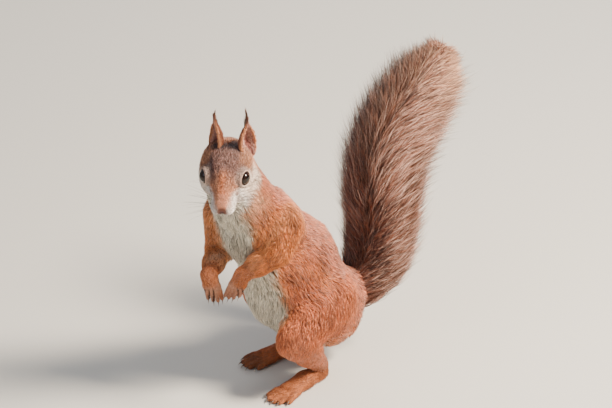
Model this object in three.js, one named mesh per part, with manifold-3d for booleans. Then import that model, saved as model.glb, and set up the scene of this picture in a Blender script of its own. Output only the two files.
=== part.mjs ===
// Red squirrel standing upright on its hind feet, life size, one still figure.
// Millimetres. Its body faces -Y, its left side is +X, +Z is up and the floor is Z = 0.
// Every outline is taken out to the tips of the coat.
import * as THREE from 'three';
import { mergeVertices } from 'three/addons/utils/BufferGeometryUtils.js';
import Module from 'manifold-3d';

const wasm = await Module();
wasm.setup();

// ---------------------------------------------------------------- driving sizes
const CENTRE = [0, 43.05];       // X and Y of the box's middle in the landmark frame
const GAP = 0.3;              // clearance between neighbouring pieces
const BLEND = 11;             // softness of the joins between muscle masses
const TORSO_CELL = 10.5;       // facet sizes
const HEAD_CELL = 4.6;
const LIMB_CELL = 5.6;
const THIGH_CELL = 8.4;

const PELVIS = [0, 31.5, 46.5];
const PELVIS_R = 31;
const BELLY = [0, 4, 64];
const BELLY_R = 28;
const RUMP = [0, 44.5, 36];
const RUMP_R = 22;
const WAIST = [0, 7, 86];
const WAIST_R = 33;
const CHEST = [0, -19, 122];
const CHEST_R = 27;
const NECK = [1, -37, 150];
const NECK_R = 20;
const TRUNK_FLATTEN = 0.9;    // width of the trunk over its depth

const HEAD = [2.8, -50.9, 173.6];
const HEAD_YAW = 43;          // degrees to its left of the body's facing
const HEAD_PITCH = 30;        // degrees nose down
const EYE_R = 4.7;
const EYE_AT = [12.7, 8, 5];  // left, forward, up of the head's middle
const NOSE_AT = [0, 30.6, -5.6];
const EAR_LENGTH = 30;
const EAR_WIDTH = 16;
const EAR_TURN = 58;          // degrees the ear's cup opens outwards from ahead
const EAR_AT = [13.0, -11, 8.2];
const EAR_SKEW = 0.8;         // the left ear sits that much further out

const TAIL_PATH = [
  [0, 52, 50], [0, 67, 48], [0, 82, 57], [0, 91, 78], [0, 93, 104],
  [0, 95, 136], [0, 106, 160], [0, 122, 179], [0, 138, 196], [0, 149, 209],
];
const TAIL_HALF_WIDTH = [13, 15, 24, 36, 42, 44.5, 45, 44, 38, 20];
const TAIL_HALF_DEPTH = [13, 14, 17, 21, 23, 24, 24, 23, 20, 11];

// Each limb: joints from the trunk outwards
const ARMS = {
  left: { shoulder: [20, -14, 128], elbow: [29, -27, 114], wrist: [16, -48, 99], tips: [9, -52.5, 80] },
  right: { shoulder: [-20, -36, 129], elbow: [-24, -36, 101], wrist: [-6, -60, 94], tips: [-3, -56.5, 74.5] },
};
const ARM_SPREAD = [0.731, 0.682, 0];
const ARM_R = { shoulder: 14, elbow: 9.6, middle: 8.2, wrist: 6.0 };
const LEGS = {
  left: { hip: [15, 25, 56], knee: [32, -13, 43], heel: [22, 16], foot: [31, -32] },
  right: { hip: [-15, 32, 58], knee: [-28, 6, 54], heel: [-20, 38], foot: [-25, -12] },
};
const LEG_R = { hip: 24, knee: 13.5, shin: 10, ankle: 7 };

// ---------------------------------------------------------------- small vector helpers
const v3 = (p) => new THREE.Vector3(p[0] - CENTRE[0], p[1] - CENTRE[1], p[2]);
const lerp = (a, b, t) => a + (b - a) * t;
const rad = THREE.MathUtils.degToRad;

// Head axes: left, forward and up of the turned and bowed head
const yaw = rad(HEAD_YAW);
const pitch = rad(HEAD_PITCH);
const headLeft = new THREE.Vector3(Math.cos(yaw), Math.sin(yaw), 0);
const level = new THREE.Vector3(Math.sin(yaw), -Math.cos(yaw), 0);
const headFore = level.clone().multiplyScalar(Math.cos(pitch));
headFore.z = -Math.sin(pitch);
const headUp = headFore.clone().cross(headLeft);

// A point given as left, forward, up of the head's middle
function headPoint(p) {
  return v3(HEAD)
    .addScaledVector(headLeft, p[0])
    .addScaledVector(headFore, p[1])
    .addScaledVector(headUp, p[2]);
}

// ---------------------------------------------------------------- muscle masses as distance fields
// A rounded cone from a to b; flatten narrows it in X
function cone(a, b, ra, rb, flatten = 1) {
  const axis = b.clone().sub(a);
  const span = axis.lengthSq() || 1;
  return (x, y, z) => {
    const dx = (x - a.x) / flatten;
    const dy = y - a.y;
    const dz = z - a.z;
    const t = Math.min(1, Math.max(0, (dx * axis.x + dy * axis.y + dz * axis.z) / span));
    const ex = dx - axis.x * t;
    const ey = dy - axis.y * t;
    const ez = dz - axis.z * t;
    return Math.sqrt(ex * ex + ey * ey + ez * ez) - lerp(ra, rb, t);
  };
}

// An ellipsoid in the head's axes
function headBall(at, r) {
  const c = headPoint(at);
  return (x, y, z) => {
    const dx = x - c.x;
    const dy = y - c.y;
    const dz = z - c.z;
    const l = dx * headLeft.x + dy * headLeft.y + dz * headLeft.z;
    const f = dx * headFore.x + dy * headFore.y + dz * headFore.z;
    const u = dx * headUp.x + dy * headUp.y + dz * headUp.z;
    const k0 = Math.hypot(l / r[0], f / r[1], u / r[2]);
    const k1 = Math.hypot(l / r[0] ** 2, f / r[1] ** 2, u / r[2] ** 2);
    return k1 > 0 ? (k0 * (k0 - 1)) / k1 : -Math.min(...r);
  };
}

function headCone(a, b, ra, rb) {
  return cone(headPoint(a), headPoint(b), ra, rb);
}

// Join fields with a soft crease of width k
function blend(fields, k) {
  return (x, y, z) => {
    let d = fields[0](x, y, z);
    for (let i = 1; i < fields.length; i++) {
      const e = fields[i](x, y, z);
      const h = Math.max(k - Math.abs(d - e), 0) / k;
      d = Math.min(d, e) - h * h * k * 0.25;
    }
    return d;
  };
}

// ---------------------------------------------------------------- closed meshes
function toManifold(positions, indices) {
  const mesh = new wasm.Mesh({
    numProp: 3,
    vertProperties: new Float32Array(positions),
    triVerts: new Uint32Array(indices),
  });
  return new wasm.Manifold(mesh);
}

// Turn a three.js geometry into a solid, with its shared corners merged
function solidOf(geometry, matrix) {
  const g = geometry.clone();
  if (matrix) {
    g.applyMatrix4(matrix);
  }
  g.deleteAttribute('normal');
  g.deleteAttribute('uv');
  const merged = mergeVertices(g, 1e-4);
  return toManifold(merged.attributes.position.array, merged.index.array);
}

// Solids of one field at several levels, on the first nearby grid that closes them all
function netSolids(field, low, high, cell, levels) {
  for (let attempt = 0; attempt < 40; attempt++) {
    const start = low.map((v, i) => v - cell * ((attempt * [0.37, 0.61, 0.23][i]) % 1));
    const found = levels.map((iso) => closedSolid(surfaceNet(field, start, high, cell, iso)));
    if (found.every((solid) => solid !== null)) {
      return found;
    }
  }
  throw new Error('no closed surface found');
}

// A net closes a solid when each edge runs once each way, so no two sheets share one
function closedSolid(net) {
  const seen = new Set();
  for (let t = 0; t < net.indices.length; t += 3) {
    for (let c = 0; c < 3; c++) {
      const key = net.indices[t + c] * 1e6 + net.indices[t + ((c + 1) % 3)];
      if (seen.has(key)) {
        return null;
      }
      seen.add(key);
    }
  }
  try {
    return toManifold(net.positions, net.indices);
  } catch {
    return null;
  }
}

// One corner in each cell that the surface crosses, one quad per crossed grid edge
function surfaceNet(field, low, high, cell, iso) {
  const n = [0, 1, 2].map((i) => Math.ceil((high[i] - low[i]) / cell) + 1);
  const at = (i, j, k) => (k * n[1] + j) * n[0] + i;
  const value = new Float32Array(n[0] * n[1] * n[2]);
  for (let k = 0; k < n[2]; k++) {
    for (let j = 0; j < n[1]; j++) {
      for (let i = 0; i < n[0]; i++) {
        const edge = i === 0 || j === 0 || k === 0 || i === n[0] - 1 || j === n[1] - 1 || k === n[2] - 1;
        const d = field(low[0] + i * cell, low[1] + j * cell, low[2] + k * cell) - iso;
        value[at(i, j, k)] = edge ? Math.max(d, 0.25 * cell) : d;
      }
    }
  }
  const corner = new Int32Array(value.length).fill(-1);
  const positions = [];
  const edges = [];
  for (let a = 0; a < 8; a++) {
    for (let axis = 0; axis < 3; axis++) {
      const b = a | (1 << axis);
      if (b !== a) {
        edges.push([a, b]);
      }
    }
  }
  const offset = (c) => [c & 1, (c >> 1) & 1, (c >> 2) & 1];
  for (let k = 0; k < n[2] - 1; k++) {
    for (let j = 0; j < n[1] - 1; j++) {
      for (let i = 0; i < n[0] - 1; i++) {
        const sum = [0, 0, 0];
        let count = 0;
        for (const [a, b] of edges) {
          const oa = offset(a);
          const ob = offset(b);
          const da = value[at(i + oa[0], j + oa[1], k + oa[2])];
          const db = value[at(i + ob[0], j + ob[1], k + ob[2])];
          if (da < 0 !== db < 0) {
            const t = da / (da - db);
            for (let c = 0; c < 3; c++) {
              sum[c] += lerp(oa[c], ob[c], t);
            }
            count++;
          }
        }
        if (count > 0) {
          corner[at(i, j, k)] = positions.length / 3;
          positions.push(
            low[0] + (i + sum[0] / count) * cell,
            low[1] + (j + sum[1] / count) * cell,
            low[2] + (k + sum[2] / count) * cell,
          );
        }
      }
    }
  }
  const indices = [];
  const step = [1, n[0], n[0] * n[1]];
  for (let k = 0; k < n[2] - 1; k++) {
    for (let j = 0; j < n[1] - 1; j++) {
      for (let i = 0; i < n[0] - 1; i++) {
        const here = at(i, j, k);
        const node = [i, j, k];
        for (let axis = 0; axis < 3; axis++) {
          const inside = value[here] < 0;
          const rim = node[(axis + 1) % 3] === 0 || node[(axis + 2) % 3] === 0;
          if (rim || inside === value[here + step[axis]] < 0) {
            continue;
          }
          const s = step[(axis + 1) % 3];
          const t = step[(axis + 2) % 3];
          const q = [corner[here - s - t], corner[here - t], corner[here], corner[here - s]];
          if (!inside) {
            q.reverse();
          }
          indices.push(q[0], q[1], q[2], q[0], q[2], q[3]);
        }
      }
    }
  }
  return { positions, indices };
}

// Loft closed rings of equal count into a solid, its ends closed by fans
function loft(rings) {
  const count = rings[0].length;
  const positions = [];
  const indices = [];
  rings.forEach((ring) => ring.forEach((p) => positions.push(p.x, p.y, p.z)));
  for (let r = 0; r < rings.length - 1; r++) {
    for (let i = 0; i < count; i++) {
      const a = r * count + i;
      const b = r * count + ((i + 1) % count);
      indices.push(a, b, b + count, a, b + count, a + count);
    }
  }
  [0, rings.length - 1].forEach((r) => {
    const middle = new THREE.Vector3();
    rings[r].forEach((p) => middle.addScaledVector(p, 1 / count));
    const m = positions.length / 3;
    positions.push(middle.x, middle.y, middle.z);
    for (let i = 0; i < count; i++) {
      const a = r * count + i;
      const b = r * count + ((i + 1) % count);
      indices.push(...(r === 0 ? [m, b, a] : [m, a, b]));
    }
  });
  return toManifold(positions, indices);
}

// Rings of an elliptical tube along a curve; side is the direction of its width
function tubeRings(curve, steps, count, width, depth, side) {
  const rings = [];
  for (let s = 0; s <= steps; s++) {
    const t = s / steps;
    const c = curve.getPoint(t);
    const along = curve.getTangent(t);
    const across = side.clone().addScaledVector(along, -side.dot(along)).normalize();
    const out = along.clone().cross(across);
    const ring = [];
    for (let i = 0; i < count; i++) {
      const a = (i / count) * Math.PI * 2;
      ring.push(
        c.clone()
          .addScaledVector(across, Math.cos(a) * width(t))
          .addScaledVector(out, Math.sin(a) * depth(t)),
      );
    }
    rings.push(ring);
  }
  return rings;
}

// Read a list of sizes along 0..1
function along(list) {
  return (t) => {
    const s = Math.min(list.length - 1.0001, Math.max(0, t * (list.length - 1)));
    const i = Math.floor(s);
    return lerp(list[i], list[i + 1], s - i);
  };
}

// A rounded digit: from a through b to c
function digit(a, b, c, ra, rc, swell = 0, count = 5, steps = 3) {
  const curve = new THREE.QuadraticBezierCurve3(a, b, c);
  const size = (t) => Math.max(0.12, lerp(ra, rc, t) + swell) * Math.sqrt(1 - Math.max(0, t * 6 - 5) ** 2 * 0.8);
  const side = Math.abs(c.clone().sub(a).normalize().z) > 0.8 ? new THREE.Vector3(1, 0, 0) : new THREE.Vector3(0, 0, 1);
  return loft(tubeRings(curve, steps, count, size, size, side));
}

// A half-space above a plane, as a big box
function halfSpace(point, normal, shift = 0) {
  const size = 700;
  const turn = new THREE.Quaternion().setFromUnitVectors(new THREE.Vector3(0, 0, 1), normal.clone().normalize());
  const centre = point.clone().addScaledVector(normal.clone().normalize(), size / 2 + shift);
  const matrix = new THREE.Matrix4().compose(centre, turn, new THREE.Vector3(1, 1, 1));
  return solidOf(new THREE.BoxGeometry(size, size, size), matrix);
}

// Split a solid by a plane into [below, above] with the gap between them
function split(solid, point, normal) {
  const above = solid.intersect(halfSpace(point, normal, GAP / 2));
  const below = solid.intersect(halfSpace(point, normal.clone().negate(), GAP / 2));
  return [below, above];
}

// The main piece of a cut solid, without the crumbs a cut can leave
function mainPiece(solid) {
  return solid.decompose().reduce((a, b) => (b.volume() > a.volume() ? b : a));
}

// An ellipsoid whose first axis runs along a direction
function ball(centre, radii, axis = new THREE.Vector3(1, 0, 0), detail = [12, 6]) {
  const turn = new THREE.Quaternion().setFromUnitVectors(new THREE.Vector3(1, 0, 0), axis.clone().normalize());
  const matrix = new THREE.Matrix4().compose(centre, turn, new THREE.Vector3(...radii));
  return solidOf(new THREE.SphereGeometry(1, ...detail), matrix);
}

// ---------------------------------------------------------------- the body as one soft mass
const fleshHead = [
  headBall([0, -3, 2], [16.5, 20, 15.5]),
  headBall([10, 1, -6], [8.5, 12, 9.5]),
  headBall([-10, 1, -6], [8.5, 12, 9.5]),
  headCone([0, 8, 1.5], [0, 24, -4.5], 12, 6.2),
  headCone([0, 3, -9], [0, 21.5, -11.5], 9.5, 4.2),
  headBall([4, 25, -7], [4.4, 5.2, 4.6]),
  headBall([-4, 25, -7], [4.4, 5.2, 4.6]),
];
const headMass = blend(fleshHead, 5);
const neckMass = cone(v3(CHEST), v3(NECK), CHEST_R - 2, NECK_R);
const napeMass = cone(v3(NECK), headPoint([0, -7, -3]), NECK_R, 17);
const trunkMass = blend([
  cone(v3(PELVIS), v3(WAIST), PELVIS_R, WAIST_R, TRUNK_FLATTEN),
  cone(v3(WAIST), v3(CHEST), WAIST_R, CHEST_R, TRUNK_FLATTEN),
  cone(v3(BELLY), v3(BELLY), BELLY_R, BELLY_R, 1),
  cone(v3(RUMP), v3(RUMP), RUMP_R, RUMP_R, 1),
  cone(v3(TAIL_PATH[0]), v3(TAIL_PATH[1]), 19, 13, 1),
], BLEND);
const legMass = Object.values(LEGS).map((leg) => cone(v3(leg.hip), v3(leg.knee), LEG_R.hip, LEG_R.knee));
const armMass = Object.values(ARMS).map((arm) => cone(v3(arm.shoulder), v3(arm.elbow), ARM_R.shoulder, ARM_R.elbow));
const bodyMass = blend([trunkMass, neckMass, napeMass, ...legMass, ...armMass, headMass], BLEND);

const torsoBox = [v3([-60, -90, 4]).toArray(), v3([60, 80, 176]).toArray()];
const [torso, torsoWide] = netSolids(bodyMass, ...torsoBox, TORSO_CELL, [0, 3.5 * GAP]);

// The same mass again with finer facets round a limb
function massRound(points, margin, cell) {
  const low = v3(points[0]).min(v3(points[1])).subScalar(margin).toArray();
  const high = v3(points[0]).max(v3(points[1])).addScalar(margin).toArray();
  return netSolids(bodyMass, low, high, cell, [0, 3 * GAP]);
}

// ---------------------------------------------------------------- head, neck and trunk
const headCut = new THREE.Vector3(0.3, -0.62, 0.72).normalize();
const headSeat = v3(HEAD).addScaledVector(headCut, -15);
const neckCut = new THREE.Vector3(0.02, -0.5, 0.866).normalize();
const neckSeat = v3([0, -26, 134]);
const waistCut = new THREE.Vector3(0, -0.42, 0.9).normalize();
const waistSeat = v3([0, 3, 92]);

const headBox = [v3([-40, -100, 130]).toArray(), v3([45, -8, 205]).toArray()];
const [headWhole, headWide] = netSolids(bodyMass, ...headBox, HEAD_CELL, [0, GAP + 0.05]);
let head = headWhole.intersect(halfSpace(headSeat, headCut, GAP / 2));
const nodes = {};

[['left', 1], ['right', -1]].forEach(([side, sign]) => {
  const centre = headPoint([EYE_AT[0] * sign, EYE_AT[1], EYE_AT[2]]);
  nodes[`eye_${side}`] = ball(centre, [EYE_R, EYE_R, EYE_R], headLeft, [10, 7]);
  head = head.subtract(ball(centre, [EYE_R + GAP, EYE_R + GAP, EYE_R + GAP], headLeft, [10, 7]));
});
nodes.nose = ball(headPoint(NOSE_AT), [3.1, 2.3, 2.2], headLeft, [10, 7]).subtract(headWide);
nodes.head = head;

let [rest, upper] = split(torso, neckSeat, neckCut);
nodes.neck = upper.intersect(halfSpace(headSeat, headCut.clone().negate(), GAP / 2));

// Haunches and upper arms are parted from the trunk along rounded seams
function limbCutter(a, b, radii, shift, swell) {
  const middle = v3(a).lerp(v3(b), 0.5).add(new THREE.Vector3(...shift));
  const axis = v3(b).sub(v3(a));
  return ball(middle, radii.map((r) => r + swell), axis);
}

const limbWide = {};
Object.entries(LEGS).forEach(([side, leg]) => {
  const out = side === 'left' ? 9 : -9;
  const span = [leg.hip, leg.knee];
  const cut = (swell) => limbCutter(leg.hip, leg.knee, [43, 21, 25], [out, -3, -4], swell);
  const [mass, wide] = massRound(span, 34, THIGH_CELL);
  nodes[`thigh_${side}`] = mass.intersect(cut(0));
  limbWide[`leg_${side}`] = wide;
  rest = rest.subtract(cut(GAP));
});
Object.entries(ARMS).forEach(([side, arm]) => {
  const out = side === 'left' ? 7 : -7;
  const span = [arm.shoulder, arm.elbow];
  const cut = (swell) => limbCutter(arm.shoulder, arm.elbow, [25, 13, 14], [out, -3, -5], swell);
  const [mass, wide] = massRound(span, 22, LIMB_CELL);
  nodes[`upper_arm_${side}`] = mass.intersect(cut(0));
  limbWide[`arm_${side}`] = wide;
  rest = rest.subtract(cut(GAP));
  nodes.neck = nodes.neck.subtract(cut(GAP));
});
[nodes.abdomen, nodes.chest] = split(rest, waistSeat, waistCut);

// ---------------------------------------------------------------- ears
// A leaf-shaped cup: thin, rounded at the foot, pointed at the tip
function ear(sign) {
  const base = headPoint([EAR_AT[0] * sign + EAR_SKEW, EAR_AT[1], EAR_AT[2]]);
  const lean = level.clone().multiplyScalar(Math.sin(rad(17)));
  lean.z = Math.cos(rad(17));
  lean.addScaledVector(headLeft, sign > 0 ? 0.05 : 0.13).normalize();
  const facing = level.clone().multiplyScalar(Math.cos(rad(EAR_TURN)));
  facing.addScaledVector(headLeft, sign * Math.sin(rad(EAR_TURN)));
  facing.addScaledVector(lean, -facing.dot(lean)).normalize();
  const across = facing.clone().cross(lean);
  const rings = [];
  const count = 7;
  const half = along([0.78, 0.92, 1.0, 0.98, 0.86, 0.64, 0.36, 0.13, 0.03]);
  const hollow = along([0, 0.25, 0.8, 1, 1, 0.9, 0.7, 0.4, 0]);
  for (let s = 0; s <= 9; s++) {
    const t = s / 9;
    const w = half(t) * EAR_WIDTH * 0.5;
    const deep = Math.max(0.5, 0.75 * w);
    const thick = lerp(2.6, 1.1, t) + (1 - hollow(t)) * deep;
    const c = base.clone().addScaledVector(lean, EAR_LENGTH * 1.18 * t - 3);
    c.addScaledVector(facing, -1.5 * Math.sin(Math.PI * t));
    const ring = [];
    for (let i = 0; i < count; i++) {
      const a = (i / (count - 1)) * Math.PI;
      ring.push(c.clone().addScaledVector(across, Math.cos(a) * w).addScaledVector(facing, -Math.sin(a) * deep));
    }
    for (let i = count - 2; i > 0; i--) {
      const a = (i / (count - 1)) * Math.PI;
      const reach = Math.min(deep, thick);
      ring.push(c.clone()
        .addScaledVector(across, Math.cos(a) * w * 0.84)
        .addScaledVector(facing, -Math.sin(a) * (deep - reach) + 0.2 + (1 - hollow(t)) * 0.6 * Math.sin(a) * w * 0.5));
    }
    rings.push(ring.reverse());
  }
  return loft(rings);
}
nodes.ear_left = ear(1).subtract(headWide);
nodes.ear_right = ear(-1).subtract(headWide);

// ---------------------------------------------------------------- forelimbs
// Forearm, then a hand of a palm and four digits, each with a claw
function hand(arm, sign, swell) {
  const wrist = v3(arm.wrist);
  const tips = v3(arm.tips);
  const down = tips.clone().sub(wrist);
  const knuckles = wrist.clone().addScaledVector(down, 0.42);
  const across = new THREE.Vector3(...ARM_SPREAD);
  const front = across.clone().cross(down).normalize();
  const palm = loft(tubeRings(new THREE.LineCurve3(
    wrist.clone().addScaledVector(down, -0.12),
    knuckles.clone().addScaledVector(down, 0.1),
  ), 3, 8, (t) => lerp(5.2, 6.2, t) + swell, (t) => lerp(4.6, 3.6, t) + swell, across));
  const fingers = [];
  for (let i = 0; i < 4; i++) {
    const s = (i - 1.5) / 1.5;
    const root = knuckles.clone().addScaledVector(across, s * 4.3).addScaledVector(down, -0.02);
    const reach = 1 - 0.1 * s * s;
    const end = wrist.clone().addScaledVector(down, reach).addScaledVector(across, s * 4.9);
    const knee = root.clone().lerp(end, 0.5).addScaledVector(front, 1.6);
    fingers.push({ root, knee, end });
  }
  return { palm, fingers, down: down.normalize(), front };
}

Object.entries(ARMS).forEach(([side, arm], n) => {
  const sign = n === 0 ? 1 : -1;
  const low = v3(arm.wrist).min(v3(arm.elbow)).subScalar(14).toArray();
  const high = v3(arm.wrist).max(v3(arm.elbow)).addScalar(14).toArray();
  const mass = blend([
    cone(v3(arm.elbow), v3(arm.wrist).lerp(v3(arm.elbow), 0.45), ARM_R.elbow - 0.6, ARM_R.middle),
    cone(v3(arm.wrist).lerp(v3(arm.elbow), 0.45), v3(arm.wrist), ARM_R.middle, ARM_R.wrist),
  ], 4);
  const [forearm] = netSolids(mass, low, high, LIMB_CELL, [0]);
  nodes[`forearm_${side}`] = forearm
    .subtract(limbWide[`arm_${side}`])
    .subtract(torsoWide)
    .intersect(halfSpace(v3(arm.wrist), v3(arm.wrist).sub(v3(arm.tips)), GAP / 2));
  const { palm, fingers, down, front } = hand(arm, sign, 0);
  let paw = palm;
  fingers.forEach((f) => {
    paw = paw.add(digit(f.root, f.knee, f.end, 2.4, 1.7));
  });
  nodes[`forepaw_${side}`] = paw.intersect(halfSpace(v3(arm.wrist), down, GAP / 2));
  fingers.forEach((f, i) => {
    const start = f.end.clone().addScaledVector(down, -1.6);
    const tip = f.end.clone().addScaledVector(down, 3.0).addScaledVector(front, -2.4);
    const bend = f.end.clone().addScaledVector(down, 1.6).addScaledVector(front, 0.5);
    const wide = digit(f.root, f.knee, f.end, 2.4, 1.7, GAP);
    nodes[`foreclaw_${side}_${i + 1}`] = digit(start, bend, tip, 1.0, 0.3, 0, 4, 2).subtract(wide);
  });
});

// ---------------------------------------------------------------- hind limbs
// Shank from knee to heel, and a long flat foot with five toes
const floorAbove = halfSpace(new THREE.Vector3(0, 0, 0), new THREE.Vector3(0, 0, 1));

Object.entries(LEGS).forEach(([side, leg], n) => {
  const sign = n === 0 ? 1 : -1;
  const heel = v3([...leg.heel, 7]);
  const ankle = v3([...leg.heel, 13]);
  const toe = v3([...leg.foot, 4]);
  const dir = toe.clone().sub(heel).setZ(0).normalize();
  const across = new THREE.Vector3(-dir.y, dir.x, 0).multiplyScalar(sign);
  const low = v3(leg.knee).min(ankle).subScalar(20).toArray();
  const high = v3(leg.knee).max(ankle).addScalar(20).toArray();
  const mass = blend([
    cone(v3(leg.knee), v3(leg.knee).lerp(ankle, 0.5), LEG_R.knee - 1, LEG_R.shin),
    cone(v3(leg.knee).lerp(ankle, 0.5), ankle, LEG_R.shin, LEG_R.ankle),
  ], 4);
  const [shank] = netSolids(mass, low, high, LIMB_CELL + 0.5, [0]);
  const anklePlane = v3([...leg.heel, 12]);
  const upright = new THREE.Vector3(0, 0, 1);
  nodes[`shank_${side}`] = shank
    .subtract(limbWide[`leg_${side}`])
    .subtract(torsoWide)
    .intersect(halfSpace(anklePlane, upright, GAP / 2));

  const ballOfFoot = heel.clone().lerp(toe, 0.66).setZ(4.6);
  const sole = new THREE.QuadraticBezierCurve3(
    heel.clone().addScaledVector(dir, -5.4).setZ(6.2),
    heel.clone().lerp(ballOfFoot, 0.5).setZ(6.2),
    ballOfFoot.clone().addScaledVector(dir, 3),
  );
  let foot = loft(tubeRings(sole, 6, 8, along([3.4, 6.2, 6.4, 6.3, 6.6, 7.2, 7.6, 7.4, 5.4]),
    along([3.6, 6.9, 7.2, 7.0, 6.6, 6.0, 5.4, 4.8, 3.4]), across));
  const toes = [];
  for (let i = 0; i < 5; i++) {
    const s = (i - 2) / 2;
    const length = [0.74, 0.97, 1, 0.94, 0.68][i];
    const root = ballOfFoot.clone().addScaledVector(across, s * 5.2).addScaledVector(dir, -2).setZ(2.2);
    const end = root.clone().addScaledVector(dir, 19 * length).addScaledVector(across, s * 3.6).setZ(1.2);
    const bend = root.clone().lerp(end, 0.55).setZ(2.4);
    toes.push({ root, bend, end });
    foot = foot.add(digit(root, bend, end, 3.0, 2.1));
  }
  nodes[`hindfoot_${side}`] = foot
    .intersect(halfSpace(anklePlane, upright.negate(), GAP / 2))
    .intersect(floorAbove);
  toes.forEach((t, i) => {
    const out = t.end.clone().sub(t.root).setZ(0).normalize();
    const start = t.end.clone().addScaledVector(out, -1.6).setZ(2.4);
    const tip = t.end.clone().addScaledVector(out, 4.4).setZ(0.7);
    const bend = t.end.clone().addScaledVector(out, 2.4).setZ(3.0);
    const wide = digit(t.root, t.bend, t.end, 3.0, 2.1, GAP);
    nodes[`hindclaw_${side}_${i + 1}`] = digit(start, bend, tip, 1.2, 0.35, 0, 4, 2).subtract(wide);
  });
});

// ---------------------------------------------------------------- tail, in three lengths
const tailCurve = new THREE.CatmullRomCurve3(TAIL_PATH.map(v3));
const tailWhole = loft(tubeRings(tailCurve, 18, 14, along(TAIL_HALF_WIDTH), along(TAIL_HALF_DEPTH),
  new THREE.Vector3(1, 0, 0)));
const tailCuts = [0.36, 0.68].map((t) => [tailCurve.getPoint(t), tailCurve.getTangent(t)]);
const tailStart = [tailCurve.getPoint(0.11), tailCurve.getTangent(0.11)];
let tailRest = tailWhole.subtract(torsoWide).intersect(halfSpace(...tailStart));
[nodes.tail_base, tailRest] = split(tailRest, ...tailCuts[0]);
[nodes.tail_middle, nodes.tail_tip] = split(tailRest, ...tailCuts[1]);

// ---------------------------------------------------------------- materials and meshes
const coat = new THREE.MeshStandardMaterial({ color: 0xb5653a, roughness: 0.9, metalness: 0 });
const tailHair = new THREE.MeshStandardMaterial({ color: 0x8a4d2e, roughness: 0.95, metalness: 0 });
const earSkin = new THREE.MeshStandardMaterial({ color: 0x9a5636, roughness: 0.85, metalness: 0 });
const pawSkin = new THREE.MeshStandardMaterial({ color: 0x7a4326, roughness: 0.8, metalness: 0 });
const clawHorn = new THREE.MeshStandardMaterial({ color: 0x2c211b, roughness: 0.4, metalness: 0 });
const eyeBlack = new THREE.MeshStandardMaterial({ color: 0x0b0908, roughness: 0.08, metalness: 0 });
const noseSkin = new THREE.MeshStandardMaterial({ color: 0x4a3430, roughness: 0.5, metalness: 0 });

function materialFor(name) {
  if (name.startsWith('eye')) return eyeBlack;
  if (name.startsWith('nose')) return noseSkin;
  if (name.includes('claw')) return clawHorn;
  if (name.startsWith('tail')) return tailHair;
  if (name.startsWith('ear')) return earSkin;
  if (name.includes('paw') || name.includes('foot')) return pawSkin;
  return coat;
}

const group = new THREE.Group();
Object.entries(nodes).forEach(([name, solid]) => {
  const out = mainPiece(solid).getMesh();
  const geometry = new THREE.BufferGeometry();
  const xyz = new Float32Array(out.numVert * 3);
  for (let i = 0; i < out.numVert; i++) {
    for (let c = 0; c < 3; c++) {
      xyz[i * 3 + c] = out.vertProperties[i * out.numProp + c];
    }
  }
  geometry.setAttribute('position', new THREE.BufferAttribute(xyz, 3));
  geometry.setIndex(new THREE.BufferAttribute(new Uint32Array(out.triVerts), 1));
  geometry.computeVertexNormals();
  const mesh = new THREE.Mesh(geometry, materialFor(name));
  mesh.name = name;
  group.add(mesh);
});

export default group;
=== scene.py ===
import bpy
import numpy as np
from mathutils import Matrix, Vector


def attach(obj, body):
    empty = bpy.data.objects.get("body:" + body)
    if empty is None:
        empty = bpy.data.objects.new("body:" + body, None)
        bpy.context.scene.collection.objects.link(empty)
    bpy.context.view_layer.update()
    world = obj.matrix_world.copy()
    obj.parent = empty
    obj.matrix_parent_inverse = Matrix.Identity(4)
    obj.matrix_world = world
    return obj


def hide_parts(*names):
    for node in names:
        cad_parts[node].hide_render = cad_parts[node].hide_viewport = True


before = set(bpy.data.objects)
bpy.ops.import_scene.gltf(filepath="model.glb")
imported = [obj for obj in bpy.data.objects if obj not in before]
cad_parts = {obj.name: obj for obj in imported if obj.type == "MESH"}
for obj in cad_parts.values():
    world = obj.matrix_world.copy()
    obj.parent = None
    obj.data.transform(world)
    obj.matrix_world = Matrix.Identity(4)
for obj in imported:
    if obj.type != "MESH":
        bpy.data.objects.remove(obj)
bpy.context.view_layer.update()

# ---------------------------------------------------------------- landmarks
# The joints and muscle masses of the squirrel, in millimetres. The body faces -Y,
# its left is +X and the floor is Z = 0.
MM = 0.001
# The landmarks are measured from a point between the feet; this takes them to the part's origin.
SHIFT = np.array([0.0, 43.05, 0.0])


def spot(x, y, z):
    """A landmark in the part's frame, in millimetres."""
    return np.array([x, y, z], float) - SHIFT


def unit(v):
    """v over its own length, along the last axis."""
    v = np.asarray(v, float)
    return v / np.maximum(np.linalg.norm(v, axis=-1, keepdims=True), 1e-9)


PELVIS = spot(0, 31.5, 46.5)
BELLY = spot(0, 4, 64)
RUMP = spot(0, 44.5, 36)
WAIST = spot(0, 7, 86)
CHEST = spot(0, -19, 122)
NECK = spot(1, -37, 150)
HEAD = spot(2.8, -50.9, 173.6)
YAW = np.radians(43)
PITCH = np.radians(30)
LEFT = np.array([np.cos(YAW), np.sin(YAW), 0.0])
LEVEL = np.array([np.sin(YAW), -np.cos(YAW), 0.0])
FORE = LEVEL * np.cos(PITCH) + np.array([0, 0, -np.sin(PITCH)])
UP = np.cross(FORE, LEFT)
UPRIGHT = np.array([0.0, 0.0, 1.0])
HEAD_AXES = np.array([LEFT, FORE, UP])
TAIL_PATH = np.array([spot(*p) for p in [
    (0, 52, 50), (0, 67, 48), (0, 82, 57), (0, 91, 78), (0, 93, 104),
    (0, 95, 136), (0, 106, 160), (0, 122, 179), (0, 138, 196), (0, 149, 209)]])
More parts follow.
